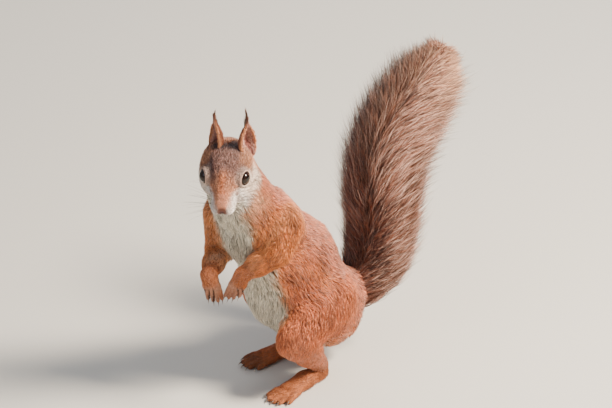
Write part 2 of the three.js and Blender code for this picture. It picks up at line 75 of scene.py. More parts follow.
ARMS = {
    "left": dict(shoulder=spot(20, -14, 128), elbow=spot(29, -27, 114), wrist=spot(16, -48, 99),
                 tips=spot(9, -52.5, 80)),
    "right": dict(shoulder=spot(-20, -36, 129), elbow=spot(-24, -36, 101), wrist=spot(-6, -60, 94),
                  tips=spot(-3, -56.5, 74.5)),
}
ARM_SPREAD = np.array([0.731, 0.682, 0.0])
LEGS = {
    "left": dict(hip=spot(15, 25, 56), knee=spot(32, -13, 43), heel=(22, 16), foot=(31, -32)),
    "right": dict(hip=spot(-15, 32, 58), knee=spot(-28, 6, 54), heel=(-20, 38), foot=(-25, -12)),
}
SIDES = {"left": 1, "right": -1}


def head_point(left, fore, up):
    """A point given as millimetres left, forward and up of the head's middle."""
    return HEAD + LEFT * left + FORE * fore + UP * up


NOSE = head_point(0, 30.2, -5.6)
EYES, EYE_AXES = {}, {}
for side, sign in SIDES.items():
    EYES[side] = head_point(12.7 * sign, 8.0, 5.0)
    out = unit(LEFT * 0.94 * sign + FORE * 0.31 + UP * 0.12)
    ahead = unit(FORE - out * (FORE @ out))
    EYE_AXES[side] = np.array([ahead, unit(np.cross(ahead, out)) * sign, out])

# ---------------------------------------------------------------- the skin as a distance field
# Rounded cones and ellipsoids, the same masses as the solids, each thinner by its
# coat's depth, melted together. Negative is inside.
def cone(p, a, b, ra, rb, flat=1.0):
    """Distance to the segment ab less a radius that runs from ra to rb, with X stretched by 1 / flat."""
    q = p - a.astype(p.dtype)
    if flat != 1.0:
        q[:, 0] /= flat
    ab = (b - a).astype(p.dtype)
    t = np.clip(q @ ab / max(float(ab @ ab), 1e-6), 0, 1)
    q -= t[:, None] * ab
    return np.sqrt((q * q).sum(1)) - (ra + (rb - ra) * t)


def ball(p, c, r):
    """k0 (k0 - 1) / k1 for an ellipsoid in the head's axes, k0 = |q / r| and k1 = |q / r^2|."""
    q = (p - c.astype(p.dtype)) @ HEAD_AXES.T.astype(p.dtype)
    r = np.array(r, p.dtype)
    k0 = np.sqrt(((q / r) ** 2).sum(1))
    k1 = np.sqrt(((q / r ** 2) ** 2).sum(1)) + 1e-6
    return k0 * (k0 - 1) / k1


def melt(fields, k):
    """min(a, b) - h^2 k / 4 with h = max(k - |a - b|, 0) / k, taken down the list."""
    d = fields[0]
    for e in fields[1:]:
        h = np.maximum(k - np.abs(d - e), 0) / k
        d = np.minimum(d, e) - h * h * (k * 0.25)
    return d


def smooth(low, high, x):
    """3t^2 - 2t^3 with t running from 0 at low to 1 at high."""
    t = np.clip((np.asarray(x, float) - low) / (high - low), 0, 1)
    return t * t * (3 - 2 * t)


def hand_bones(arm):
    """Palm and finger segments (a, b, ra, rb) of one hand."""
    wrist, tips = arm["wrist"], arm["tips"]
    down = tips - wrist
    front = unit(np.cross(ARM_SPREAD, down))
    knuckles = wrist + down * 0.42
    fingers = []
    for s in (-1, -1 / 3, 1 / 3, 1):
        root = knuckles + ARM_SPREAD * s * 4.3 - down * 0.02
        end = wrist + down * (1 - 0.1 * s * s) + ARM_SPREAD * s * 4.9
        bend = (root + end) / 2 + front * 1.6
        fingers.append((root, bend, 1.75, 1.4))
        fingers.append((bend, end, 1.5, 1.2))
    palm = [(wrist - down * 0.05 + ARM_SPREAD * s * 1.6, knuckles + ARM_SPREAD * s * 3.4, 3.3, 2.5)
            for s in (-1, 0, 1)]
    return palm, fingers


def foot_bones(leg, sign):
    """Sole and toe segments (a, b, ra, rb) of one hind foot, flat on the floor."""
    heel, toe = spot(*leg["heel"], 7), spot(*leg["foot"], 4)
    ahead = unit((toe - heel) * [1, 1, 0])
    across = np.array([-ahead[1], ahead[0], 0]) * sign
    front = heel + (toe - heel) * 0.66
    rear = heel - ahead * 1.0
    middle = (rear + front) / 2
    front[2], rear[2], middle[2] = 4.2, 5.2, 5.2
    sole = [(rear, middle, 5.5, 5.2), (middle - across * 1.4, front - across * 3.2, 4.9, 3.7),
            (middle + across * 1.4, front + across * 3.2, 4.9, 3.7)]
    toes = []
    for i, length in enumerate((0.74, 0.97, 1.0, 0.94, 0.68)):
        s = (i - 2) / 2
        root = front + across * s * 5.2 - ahead * 2
        end = root + ahead * 19 * length + across * s * 3.6
        bend = root + (end - root) * 0.55
        root[2], bend[2], end[2] = 3.0, 3.2, 1.9
        toes.append((root, bend, 2.6, 2.15))
        toes.append((bend, end, 2.3, 1.8))
    return sole, toes, ahead, across


HANDS = {side: hand_bones(arm) for side, arm in ARMS.items()}
FEET = {side: foot_bones(leg, SIDES[side]) for side, leg in LEGS.items()}
CORE_R = np.interp(np.arange(10), [0, 1, 2, 4, 9], [10.5, 8.5, 6.5, 5.0, 1.6])


def from_head(p):
    """Points as millimetres left, forward and up of the head's middle."""
    return (p - HEAD.astype(p.dtype)) @ HEAD_AXES.T.astype(p.dtype)


def from_eye(p, side):
    """Points as mm ahead, up and out of an eye's middle, and the oval hypot(ahead / 1.06, up / 1.02)."""
    e = (p - EYES[side].astype(p.dtype)) @ EYE_AXES[side].T.astype(p.dtype)
    return e, np.hypot(e[:, 0] / 1.06, e[:, 1] / 1.02)


def lips(f):
    """Height of the mouth's closed line at f mm forward of the head's middle."""
    return -10.6 + 0.012 * (f - 24) ** 2


# The lids' opening, the middle and thickness of their rim, and the bare edge round them.
OPENING = 4.4
RIM = 4.8
RIM_R = 0.5
BARE = 5.15


def head_field(p):
    """Skull, cheeks, orbits, muzzle and jaw, then lids, the mouth's line and the nostrils' wings."""
    parts = [ball(p, head_point(0, -3, 2), (15.2, 18.8, 14.2))]
    for sign in (1, -1):
        parts.append(ball(p, head_point(10 * sign, 1, -6), (7.3, 10.8, 8.3)))
    parts.append(cone(p, head_point(0, 8, 1.5), head_point(0, 24, -4.5), 11.2, 5.4))
    parts.append(cone(p, head_point(0, 3, -9), head_point(0, 21.5, -11.5), 8.4, 3.4))
    for sign in (1, -1):
        parts.append(ball(p, head_point(3.7 * sign, 25, -7), (3.9, 4.8, 4.1)))
    d = melt(parts, 5.0)
    l, f, u = from_head(p).T
    l = np.abs(l)
    d = d + 1.3 * np.exp(-((f - 4) / 8) ** 2 - ((u - 11) / 4.5) ** 2) * smooth(4, 9, l)
    d = d + 1.1 * np.exp(-((u - lips(f)) / 0.75) ** 2) * smooth(12, 18, f)
    d = d + 0.8 * np.exp(-(l / 0.6) ** 2) * smooth(25.5, 27, f) * smooth(-11, -9.5, u) * smooth(-5.5, -7.5, u)
    for side in SIDES:
        e, ring = from_eye(p, side)
        near = np.abs(e).max(1) < 14
        e, ring = e[near], ring[near]
        orbit = np.sqrt((e[:, 0] / 1.01) ** 2 + e[:, 1] ** 2 + (e[:, 2] + 1.4) ** 2) - 5.45
        lid = np.hypot(ring - RIM, np.maximum(e[:, 2] - 1.35, 0)) - RIM_R
        around = melt([melt([d[near], orbit], 3.2), np.maximum(lid, -3 - e[:, 2])], 0.9)
        d[near] = -melt([-around, -np.minimum(OPENING - ring, e[:, 2] - 0.2)], 0.3)
    return d


def skin_field(p):
    """The whole skin: trunk, head and limbs melted by 11, then shins, hands, feet and tail by less."""
    d = melt([
        cone(p, PELVIS, WAIST, 27.6, 29.4, 0.9),
        cone(p, WAIST, CHEST, 29.4, 23.6, 0.9),
        cone(p, BELLY, BELLY, 24.6, 24.6),
        cone(p, RUMP, RUMP, 18.4, 18.4),
        cone(p, TAIL_PATH[0], TAIL_PATH[1], 14.5, 9.0),
    ], 11.0)
    parts = [d, cone(p, CHEST, NECK, 21.6, 16.8), cone(p, NECK, head_point(0, -7, -3), 16.8, 14.4)]
    for leg in LEGS.values():
        parts.append(cone(p, leg["hip"], leg["knee"], 21.0, 11.2))
    for arm in ARMS.values():
        parts.append(cone(p, arm["shoulder"], arm["elbow"], 11.6, 7.8))
    near = np.abs(p - HEAD.astype(p.dtype)).max(1) < 50
    head = np.full(len(p), 60, p.dtype)
    if near.any():
        head[near] = head_field(p[near])
    parts.append(head)
    d = melt(parts, 11.0)
    for side, arm in ARMS.items():
        middle = arm["wrist"] * 0.55 + arm["elbow"] * 0.45
        d = melt([d, cone(p, arm["elbow"], middle, 7.5, 6.4), cone(p, middle, arm["wrist"], 6.4, 4.3)], 4.0)
        near = np.abs(p - (arm["wrist"] + arm["tips"]).astype(p.dtype) / 2).max(1) < 26
        if near.any():
            palm, fingers = HANDS[side]
            g, e = p[near], d[near]
            e = melt([e] + [cone(g, *bone) for bone in palm], 3.0)
            d[near] = melt([e, melt([cone(g, *bone) for bone in fingers], 0.25)], 1.2)
    low = p[:, 2] < 62
    if low.any():
        g, e = p[low], d[low]
        for side, leg in LEGS.items():
            ankle = spot(*leg["heel"], 12)
            shin = (leg["knee"] + ankle) / 2
            e = melt([e, cone(g, leg["knee"], shin, 10.8, 8.2), cone(g, shin, ankle, 8.2, 5.7)], 5.0)
            sole, toes, _, _ = FEET[side]
            e = melt([e] + [cone(g, *bone) for bone in sole], 4.0)
            e = melt([e, melt([cone(g, *bone) for bone in toes], 0.7)], 2.0)
        d[low] = e
    rear = p[:, 1] > 12
    if rear.any():
        g = p[rear]
        core = [cone(g, TAIL_PATH[i], TAIL_PATH[i + 1], CORE_R[i], CORE_R[i + 1]) for i in range(9)]
        d[rear] = melt([d[rear], melt(core, 2.0)], 7.0)
    return np.maximum(d, 0.25 - p[:, 2])


def slope(p, step=0.3):
    """The field's value and its unit gradient, by differences on four corners of a cube."""
    grad = np.zeros_like(p)
    value = np.zeros(len(p))
    for e in np.array([[1, 1, 1], [1, -1, -1], [-1, 1, -1], [-1, -1, 1]], float):
        v = skin_field(p + (e * step).astype(p.dtype))
        grad += v[:, None] * e.astype(p.dtype)
        value += v
    return value / 4, unit(grad)


def surface_net(field, xs, ys, zs):
    """One corner in each grid cell that the field crosses and one quad on each crossed grid edge."""
    shape = (len(xs), len(ys), len(zs))
    value = np.empty(shape, np.float32)
    yy, zz = np.meshgrid(ys, zs, indexing="ij")
    for i, x in enumerate(xs):
        p = np.stack([np.full(yy.size, x), yy.ravel(), zz.ravel()], 1).astype(np.float32)
        value[i] = field(p).reshape(shape[1:])
    inside = value < 0
    cells = np.zeros((shape[0] - 1, shape[1] - 1, shape[2] - 1), np.int8)
    corners = [(a, b, c) for a in (0, 1) for b in (0, 1) for c in (0, 1)]
    for a, b, c in corners:
        cells += inside[a:shape[0] - 1 + a, b:shape[1] - 1 + b, c:shape[2] - 1 + c]
    active = np.argwhere((cells > 0) & (cells < 8))
    index = np.full(cells.shape, -1, np.int64)
    index[tuple(active.T)] = np.arange(len(active))
    total = np.zeros((len(active), 3))
    count = np.zeros(len(active))
    lines = (xs, ys, zs)
    for start in corners:
        for axis in range(3):
            if start[axis]:
                continue
            end = list(start)
            end[axis] = 1
            ia, ib = active + start, active + end
            va, vb = value[tuple(ia.T)], value[tuple(ib.T)]
            cross = (va < 0) != (vb < 0)
            t = np.where(cross, va / np.where(cross, va - vb, 1), 0)
            point = np.stack([lines[c][ia[:, c]] for c in range(3)], 1).astype(float)
            point[:, axis] += t * (lines[axis][ib[:, axis]] - lines[axis][ia[:, axis]])
            total += point * cross[:, None]
            count += cross
    verts = total / count[:, None]
    quads = []
    for axis in range(3):
        near = [slice(None)] * 3
        far = [slice(None)] * 3
        near[axis], far[axis] = slice(0, -1), slice(1, None)
        flips = np.argwhere(inside[tuple(near)] != inside[tuple(far)])
        b, c = (axis + 1) % 3, (axis + 2) % 3
        flips = flips[(flips[:, b] > 0) & (flips[:, c] > 0)]
        eb, ec = np.eye(3, dtype=int)[b], np.eye(3, dtype=int)[c]
        ring = [index[tuple((flips - o).T)] for o in (eb + ec, ec, np.zeros(3, int), eb)]
        quad = np.stack(ring, 1)
        out = inside[tuple(flips.T)]
        quads.append(np.where(out[:, None], quad, quad[:, ::-1]))
    return verts, np.concatenate(quads)


def spaced(stops):
    """Grid lines whose step changes along the axis: a list of (from, to, step)."""
    return np.concatenate([np.arange(a, b, s) for a, b, s in stops])


def fitted(verts):
    """Moves corners along the gradient onto the zero of the field, in three steps."""
    for _ in range(3):
        d, n = slope(verts)
        verts = verts - n * np.clip(d, -0.6, 0.6)[:, None] * 0.9
    return verts

# ---------------------------------------------------------------- coat colours, painted light and shade
# One set of colours for skin and coat: russet above, cream below, greyish crown, pale
# cheeks, muzzle and eye rings, and a dark tail with buff edges. Some of it is painted light:
# the ears' shadow across the crown, a highlight on the back, and shade on the flank and
# between the fingers.
def tone(code):
    """sRGB hex to linear light: c / 12.92 below 0.04045, else ((c + 0.055) / 1.055)^2.4."""
    c = np.array([int(code[i:i + 2], 16) for i in (0, 2, 4)]) / 255
    return np.where(c <= 0.04045, c / 12.92, ((c + 0.055) / 1.055) ** 2.4)


def paint(colour, code, weight):
    """Moves each colour towards the hex colour by its weight."""
    return colour + (tone(code) - colour) * np.clip(weight, 0, 1)[:, None]


def along(p, chain):
    """Nearest place on a chain of points: how far along it in points, the offset from it and its way."""
    best = np.full(len(p), 1e9)
    place, off, way = np.zeros(len(p)), np.zeros((len(p), 3)), np.zeros((len(p), 3))
    for i in range(len(chain) - 1):
        ab = chain[i + 1] - chain[i]
        t = np.clip((p - chain[i]) @ ab / (ab @ ab), 0, 1)
        q = p - chain[i] - t[:, None] * ab
        d = np.linalg.norm(q, axis=1)
        near = d < best
        best[near], place[near], off[near], way[near] = d[near], i + t[near], q[near], unit(ab)
    return place, off, way


def waves(p, size, seed):
    """Nine sine waves of about that wavelength in mm, in random directions, summed and over 4.2."""
    dice = np.random.default_rng(seed)
    k = unit(dice.normal(size=(9, 3))) * (2 * np.pi / size) * dice.uniform(0.7, 1.4, (9, 1))
    return np.sin(p @ k.T + dice.uniform(0, 6.28, 9)).sum(1) / 4.2


SPINE = [spot(0, 40, 26), PELVIS, WAIST, CHEST, NECK, head_point(0, 2, -4)]


def markings_and_painted_light(p):
    """The coat's colour at points in mm, in linear light, with painted shadow, highlight and shade in it."""
    rough = waves(p, 9, 3) * 1.6 + waves(p, 3.5, 4) * 0.8
    c = np.repeat(tone("e07c40")[None], len(p), 0)
    c = paint(c, "b85a30", smooth(-0.3, 1.1, waves(p, 22, 5)) * 0.55)
    place, off, way = along(p, SPINE)
    belly = unit(np.cross(way, [1.0, 0, 0]))
    belly *= np.where(belly[:, 1] > 0, -1, 1)[:, None]
    deep = (off * belly).sum(1)
    # Painted highlight: a paler pinkish tint over the back, where the light falls on it.
    c = paint(c, "dd8a6e", smooth(2, 18, -deep) * 0.75)
    c = paint(c, "e58a4a", smooth(2.4, 3.2, place) * smooth(4.3, 3.6, place) * smooth(-16, 0, deep) * 0.6)
    c = paint(c, "efb590", smooth(3.5, 4.4, place) * smooth(-14, -4, deep + rough) * 0.7)
    width = np.interp(place, [0, 1, 1.8, 2.3, 3, 4, 5], [30, 24, 20.5, 17, 15.0, 14, 15])
    edge = np.abs(off[:, 0]) + rough - width
    vent = 1 - smooth(14, 26, (p + SHIFT)[:, 1] + rough) * smooth(62, 48, p[:, 2])
    under = smooth(2.0, -2.0, edge) * smooth(1, 8, deep + rough) * vent
    c = paint(c, "d9ac80", smooth(4.5, -1.0, edge) * smooth(0, 8, deep) * 0.6 * vent)
    # Darker russet on the lower flank: partly the coat's own tone, partly painted shade.
    flank = smooth(0, 6, deep + rough) * smooth(2.5, 6, edge)
    flank = flank * smooth(1.0, 1.5, place) * smooth(2.7, 2.2, place)
    c = paint(c, "b55c34", flank * 0.65)
    c = paint(c, "efe5d0", under)
    for side, arm in ARMS.items():
        d = np.minimum(cone(p, arm["shoulder"], arm["elbow"], 13.5, 9.6),
                       cone(p, arm["elbow"], arm["wrist"], 9, 6))
        inner = smooth(1.0, 6.0, (arm["elbow"] - p) @ np.array([SIDES[side], 0.2, -0.25]))
        c = paint(c, "e08040", smooth(5.0, -1.0, d + 0.8 * rough) * 0.85)
        c = paint(c, "e8b080", smooth(3.5, 0.5, d) * inner * 0.2)
        low = cone(p, arm["wrist"], arm["tips"], 7, 6)
        c = paint(c, "c46f40", smooth(6, 0, low + rough) * 0.8)
        far = np.linalg.norm(p - arm["wrist"], axis=1)
        c = paint(c, "85503a", smooth(5, 0, low) * smooth(11, 22, far) * 0.6)
        # Painted shade: dark lines in the gaps between the fingers.
        gap = (p - arm["wrist"]) @ ARM_SPREAD / 3.1
        between = smooth(0.24, 0.08, np.abs(gap - np.round(gap))) * (np.abs(gap) < 1.3)
        c = paint(c, "3c231a", between * smooth(5, 0, low) * smooth(8, 11, far))
    for side, leg in LEGS.items():
        d = cone(p, leg["hip"], leg["knee"], 24, 13.5)
        inner = smooth(2, 9, (leg["knee"] - p)[:, 0] * SIDES[side]) * smooth(-4, 6, (leg["hip"] - p)[:, 1])
        outer = smooth(14, 18, np.abs(p[:, 0] + 0.8) + rough) * (1 - inner)
        c = paint(c, "df7c4e", smooth(4, 0, d + rough) * outer)
        ankle = spot(*leg["heel"], 12)
        d = cone(p, leg["knee"], ankle, 13, 8)
        c = paint(c, "cc7040", smooth(4, 0, d) * smooth(44, 28, p[:, 2]))
        c = paint(c, "b86c40", smooth(14, 8, p[:, 2]))
        c = paint(c, "bd6c40", smooth(5, 1, cone(p, ankle, spot(*leg["foot"], 6), 8, 6)))
        toe = np.linalg.norm(p - spot(*leg["foot"], 4), axis=1)
        c = paint(c, "84502f", smooth(20, 8, toe) * smooth(13, 9, p[:, 2]) * 0.7)
    l, f, u = from_head(p).T
    l = np.abs(l)
    rough = rough * 0.5
    on = smooth(9, 4.5, head_zone(p))
    h = np.repeat(tone("d2906c")[None], len(p), 0)
    h = paint(h, "7c544c", smooth(2, 10, u + 0.3 * f + rough) * smooth(20, 8, f) * 0.92)
    # Painted shadow: a dark stripe across the crown where the ears cast their shadow.
    painted_ear_shadow = smooth(9, 12.0, u + rough) * smooth(-13, -11, f + rough) * smooth(-4, -6.5, f) * smooth(11, 8, l)
    h = paint(h, "3f2b2b", painted_ear_shadow * 0.8)
    h = paint(h, "d08f68", smooth(8, 11, l + rough) * smooth(2, 6, u) * smooth(6, -2, f) * 0.8)
    cheek = smooth(4.5, -1.0, u + 0.12 * (f - 4) + rough) * smooth(8, 11.5, l + 0.1 * f)
    h = paint(h, "f6dfcc", cheek * smooth(-9, -2, f + rough) * smooth(20, 13, f) * 0.95)
    h = paint(h, "c98f68", smooth(-6, -13, u) * smooth(9, 13, l) * smooth(6, -4, f) * 0.6)
    h = paint(h, "f7e8de", smooth(10.5, 15.5, f) * smooth(4.2, -0.5, u + 0.35 * (f - 16) + rough))
    h = paint(h, "c97a50", smooth(8, 15, f) * smooth(3.6, 1.2, l + 1.5 * rough) * smooth(-8.5, -4.5, u))
    h = paint(h, "cf947a", smooth(20, 25, f + rough) * smooth(4.0, 1.5, l) * smooth(-8.5, -4.5, u) * 0.6)
    spots = np.linalg.norm(np.stack([l - 7.6, f - 16.8, u + 1.2], 1), axis=1)
    h = paint(h, "85503a", smooth(3.2, 0.8, spots + rough) * 0.8)
    h = paint(h, "efe4d2", smooth(-9.5, -12.5, u + rough) * smooth(16, 9, l) * smooth(-10, -4, f))
    h = paint(h, "b9744c", smooth(-9, -14, f + rough))
    for side in SIDES:
        e, ring = from_eye(p, side)
        close = smooth(-6, -2, e[:, 2])
        h = paint(h, "f3dccb", smooth(7.6, 5.4, ring + rough) * close * (0.35 + 0.6 * smooth(2, -3, e[:, 1])))
        h = paint(h, "33211c", smooth(BARE, 4.85, ring) * smooth(-1, 1, e[:, 2]))
        corner = smooth(0.9, 0.4, np.hypot(e[:, 0] - 5.1, e[:, 1] + 0.5)) * smooth(-3, 0, e[:, 2])
        h = paint(h, "4a3028", corner * 0.6)
    h = paint(h, "6b4238", smooth(0.75, 0.25, np.abs(u - lips(f))) * smooth(15, 19, f) * 0.8)
    h = paint(h, "5c3630", smooth(4.0, 3.0, np.linalg.norm(p - NOSE, axis=1)) * 0.85)
    c = c + (h - c) * on[:, None]
    place, off, _ = along(p, list(TAIL_PATH))
    tail = smooth(0.5, 1.6, place) * smooth(24, 16, np.linalg.norm(off, axis=1)) * smooth(14, 26, p[:, 1])
    return paint(c, "4a2f24", tail)


def head_zone(p):
    """Distance to the head's own masses without lids or folds."""
    return melt([ball(p, head_point(0, -3, 2), (15.2, 18.8, 14.2)),
                 cone(p, head_point(0, 3, -4), head_point(0, 25, -8), 14, 6.5)], 5.0)

# ---------------------------------------------------------------- materials
# Underfur, guard hair and brush hair, each coloured by its mesh's own paint, with a fine
# variation on top.
def material(name, rough, **sockets):
    """A principled material with its roughness and other sockets set."""
    m = bpy.data.materials.new(name)
    m.use_nodes = True
    shader = m.node_tree.nodes["Principled BSDF"]
    shader.inputs["Roughness"].default_value = rough
    for key, value in sockets.items():
        shader.inputs[key.replace("_", " ")].default_value = value
    return m


def add(tree, kind, links, **settings):
    """Adds a node with its settings and links: {input: an output or a value}."""
    node = tree.nodes.new(kind)
    for key, value in settings.items():
        setattr(node, key, value)
    for key, value in links.items():
        if isinstance(value, bpy.types.NodeSocket):
            tree.links.new(value, node.inputs[key])
        else:
            node.inputs[key].default_value = value
    return node


def painted(name, rough, grain=0.0, size=1.0, depth=0.0, **sockets):
    """A material whose colour is the mesh's paint, varied by noise of that size in mm, with a little bump."""
    m = material(name, rough, **sockets)
    tree = m.node_tree
    shader = tree.nodes["Principled BSDF"]
    colour = add(tree, "ShaderNodeAttribute", {}, attribute_name="paint").outputs["Color"]
    if grain:
        place = add(tree, "ShaderNodeTexCoord", {}).outputs["Object"]
        noise = add(tree, "ShaderNodeTexNoise", {"Vector": place, "Scale": 1000 / size, "Detail": 3.0})
        noise = noise.outputs["Fac"]
        level = add(tree, "ShaderNodeMapRange", {"Value": noise, "To Min": 1 - grain, "To Max": 1 + grain})
        varied = add(tree, "ShaderNodeVectorMath", {0: colour, 1: level.outputs["Result"]},
                     operation="MULTIPLY")
        colour = varied.outputs["Vector"]
    tree.links.new(colour, shader.inputs["Base Color"])
    if depth:
        bump = add(tree, "ShaderNodeBump", {"Height": noise, "Distance": depth * MM, "Strength": 0.6})
        tree.links.new(bump.outputs["Normal"], shader.inputs["Normal"])
    return m


# Underfur and bare skin: short, matt and close.
SKIN = painted("squirrel_underfur", 0.8, 0.22, 0.9, 0.5, Specular_IOR_Level=0.25)
# Guard hairs of body and head: keratin with a soft sheen along the lie.
COAT = painted("squirrel_guard_hair", 0.58, 0.12, 5.0, Specular_IOR_Level=0.35, Sheen_Weight=0.12)
# Long brush hairs of the tail, drier and duller than the coat.
BRUSH = painted("squirrel_brush_hair", 0.6, 0.12, 7.0, Specular_IOR_Level=0.3, Sheen_Weight=0.08)


def mesh_object(name, verts, faces, colours, stuff, uv=None):
    """A mesh in the part's frame from points in mm and a list of index arrays, one per face size."""
    me = bpy.data.meshes.new(name)
    me.vertices.add(len(verts))
    me.vertices.foreach_set("co", (np.asarray(verts) * MM).astype(np.float32).ravel())
    loops = np.concatenate([f.ravel() for f in faces]).astype(np.int32)
    sizes = np.concatenate([np.full(len(f), f.shape[1]) for f in faces])
    me.loops.add(len(loops))
    me.loops.foreach_set("vertex_index", loops)
    me.polygons.add(len(sizes))
    me.polygons.foreach_set("loop_start", (np.cumsum(sizes) - sizes).astype(np.int32))
    me.polygons.foreach_set("use_smooth", np.full(len(sizes), True))
    if uv is not None:
        layer = me.uv_layers.new(name="OFBake", do_init=False)
        layer.uv.foreach_set("vector", uv[loops].astype(np.float32).ravel())
    paint_layer = me.color_attributes.new("paint", "FLOAT_COLOR", "POINT")
    rgba = np.ones((len(verts), 4), np.float32)
    rgba[:, :3] = np.clip(colours, 0, 1)
    paint_layer.data.foreach_set("color", rgba.ravel())
    me.materials.append(stuff)
    me.update(calc_edges=True)
    ob = bpy.data.objects.new(name, me)
    bpy.context.scene.collection.objects.link(ob)
    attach(ob, "root")
    return ob

# ---------------------------------------------------------------- skin
# The field's zero, meshed finer over the head and hands, with the ears' cups set in the
# same mesh. It stands for every node of flesh.
def ear_frame(sign):
    """Base, length direction, opening direction and width direction of one ear."""
    base = head_point(13.6 * sign + 2.8, -11, 6.4 - 0.8 * sign)
    lean = unit(LEVEL * np.sin(np.radians(17)) + UPRIGHT * np.cos(np.radians(17))
                + LEFT * (-0.03 if sign > 0 else 0.09))
    facing = LEVEL * np.cos(np.radians(58)) + LEFT * sign * np.sin(np.radians(58))
    facing = unit(facing - lean * (facing @ lean))
    return base, lean, facing, np.cross(facing, lean)


def ear_place(sign, t, a, inset, inside):
    """Point of the ear's cup at share t of its length and angle a across, a from -pi/2 to pi/2."""
    base, lean, facing, across = ear_frame(sign)
    half = np.interp(t * 8, np.arange(9), [0.5, 0.84, 1.02, 1.02, 0.9, 0.66, 0.34, 0.1, 0.02])
    w = np.maximum(half * 8.0 - inset, 0.12)
    deep = 0.72 * w
    hollow = np.interp(t * 8, np.arange(9), [0, 0.25, 0.8, 1, 1, 0.9, 0.7, 0.4, 0])
    c = base + lean * (36.8 * t - 3)[..., None] - facing * (1.5 * np.sin(np.pi * t))[..., None]
    x = np.sin(a) * w * np.where(inside, 0.9, 1)
    wall = np.interp(t, [0, 1], [1.3, 0.5])
    back = -np.cos(a) * np.where(inside, np.maximum(deep - wall, 0.0) * hollow, deep)
    return c + across * x[..., None] + facing * back[..., None]


def grid_faces(rows, cols, closed=True):
    """Quads between neighbouring rows of a grid of points, the last column joined to the first."""
    r, c = np.meshgrid(np.arange(rows - 1), np.arange(cols if closed else cols - 1), indexing="ij")
    n = (c + 1) % cols
    return np.stack([r * cols + c, r * cols + n, (r + 1) * cols + n, (r + 1) * cols + c], -1).reshape(-1, 4)


def ear_skin(sign, rows=34, half=15):
    """The cup's outer arc then its inner arc as one ring of points per row."""
    t = np.repeat(np.linspace(0, 1, rows)[:, None], 2 * half, 1)
    arc = np.linspace(-np.pi / 2, np.pi / 2, half)
    a = np.concatenate([arc, arc[::-1]])[None].repeat(rows, 0)
    inside = (np.arange(2 * half) >= half)[None].repeat(rows, 0)
    colours = ear_colour(a.ravel(), t.ravel(), inside.ravel().astype(float), sign) * 0.9
    return ear_place(sign, t, a, 0.5, inside).reshape(-1, 3), grid_faces(rows, 2 * half), colours


def ear_colour(a, t, inside, sign):
    """Russet-brown back, a warm rim made paler by a painted highlight, pinkish inside with a dark stripe of
    painted shade towards its outer edge, darker tip.
    """
    c = np.repeat(tone("9c5c40")[None], len(a), 0)
    c = paint(c, "b8704a", smooth(0.4, 0.1, t))
    c = paint(c, "c99484", inside)
    # Painted shade: a dark stripe inside the cup where its crease would lie in shadow.
    painted_fold_shade = np.abs(a * sign + 0.42 - 0.2 * t) + 0.1 * np.sin(19 * t)
    c = paint(c, "6a2e2a", inside * smooth(0.42, 0.12, painted_fold_shade) * smooth(0.58, 0.4, t) * 0.85)
    # The rim's own russet hair, made paler as a painted highlight along the edge.
    c = paint(c, "dc9468", smooth(1.0, 1.4, np.abs(a)) * smooth(0.86, 0.7, t) * 0.9)
    return paint(c, "5e382b", smooth(0.74, 1.0, t) * 0.85)


verts, quads = surface_net(
    skin_field,
    spaced([(-45, -22, 1.25), (-22, 27, 0.66), (27, 46, 1.25)]),
    spaced([(-116, -69, 0.62), (-69, 10, 1.3), (10, 112, 1.9)]),
    spaced([(-1.0, 14, 0.9), (14, 72, 1.35), (72, 104, 0.9), (104, 152, 1.35), (152, 196, 0.6),
            (196, 215, 1.5)]))
SKIN_VERTS, SKIN_QUADS = fitted(verts), quads
parts, faces, colours = [SKIN_VERTS], [SKIN_QUADS], [markings_and_painted_light(SKIN_VERTS)]
for sign in (1, -1):
    ear, face, shade = ear_skin(sign)
    faces.append(face[:, ::-1] + sum(len(v) for v in parts))
    parts.append(ear)
    colours.append(shade)
skin = mesh_object("squirrel_skin", np.concatenate(parts), [np.concatenate(faces)],
                   np.concatenate(colours), SKIN)
FLESH = [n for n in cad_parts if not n.startswith(("eye_", "nose", "hindclaw_", "foreclaw_"))]
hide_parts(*FLESH)

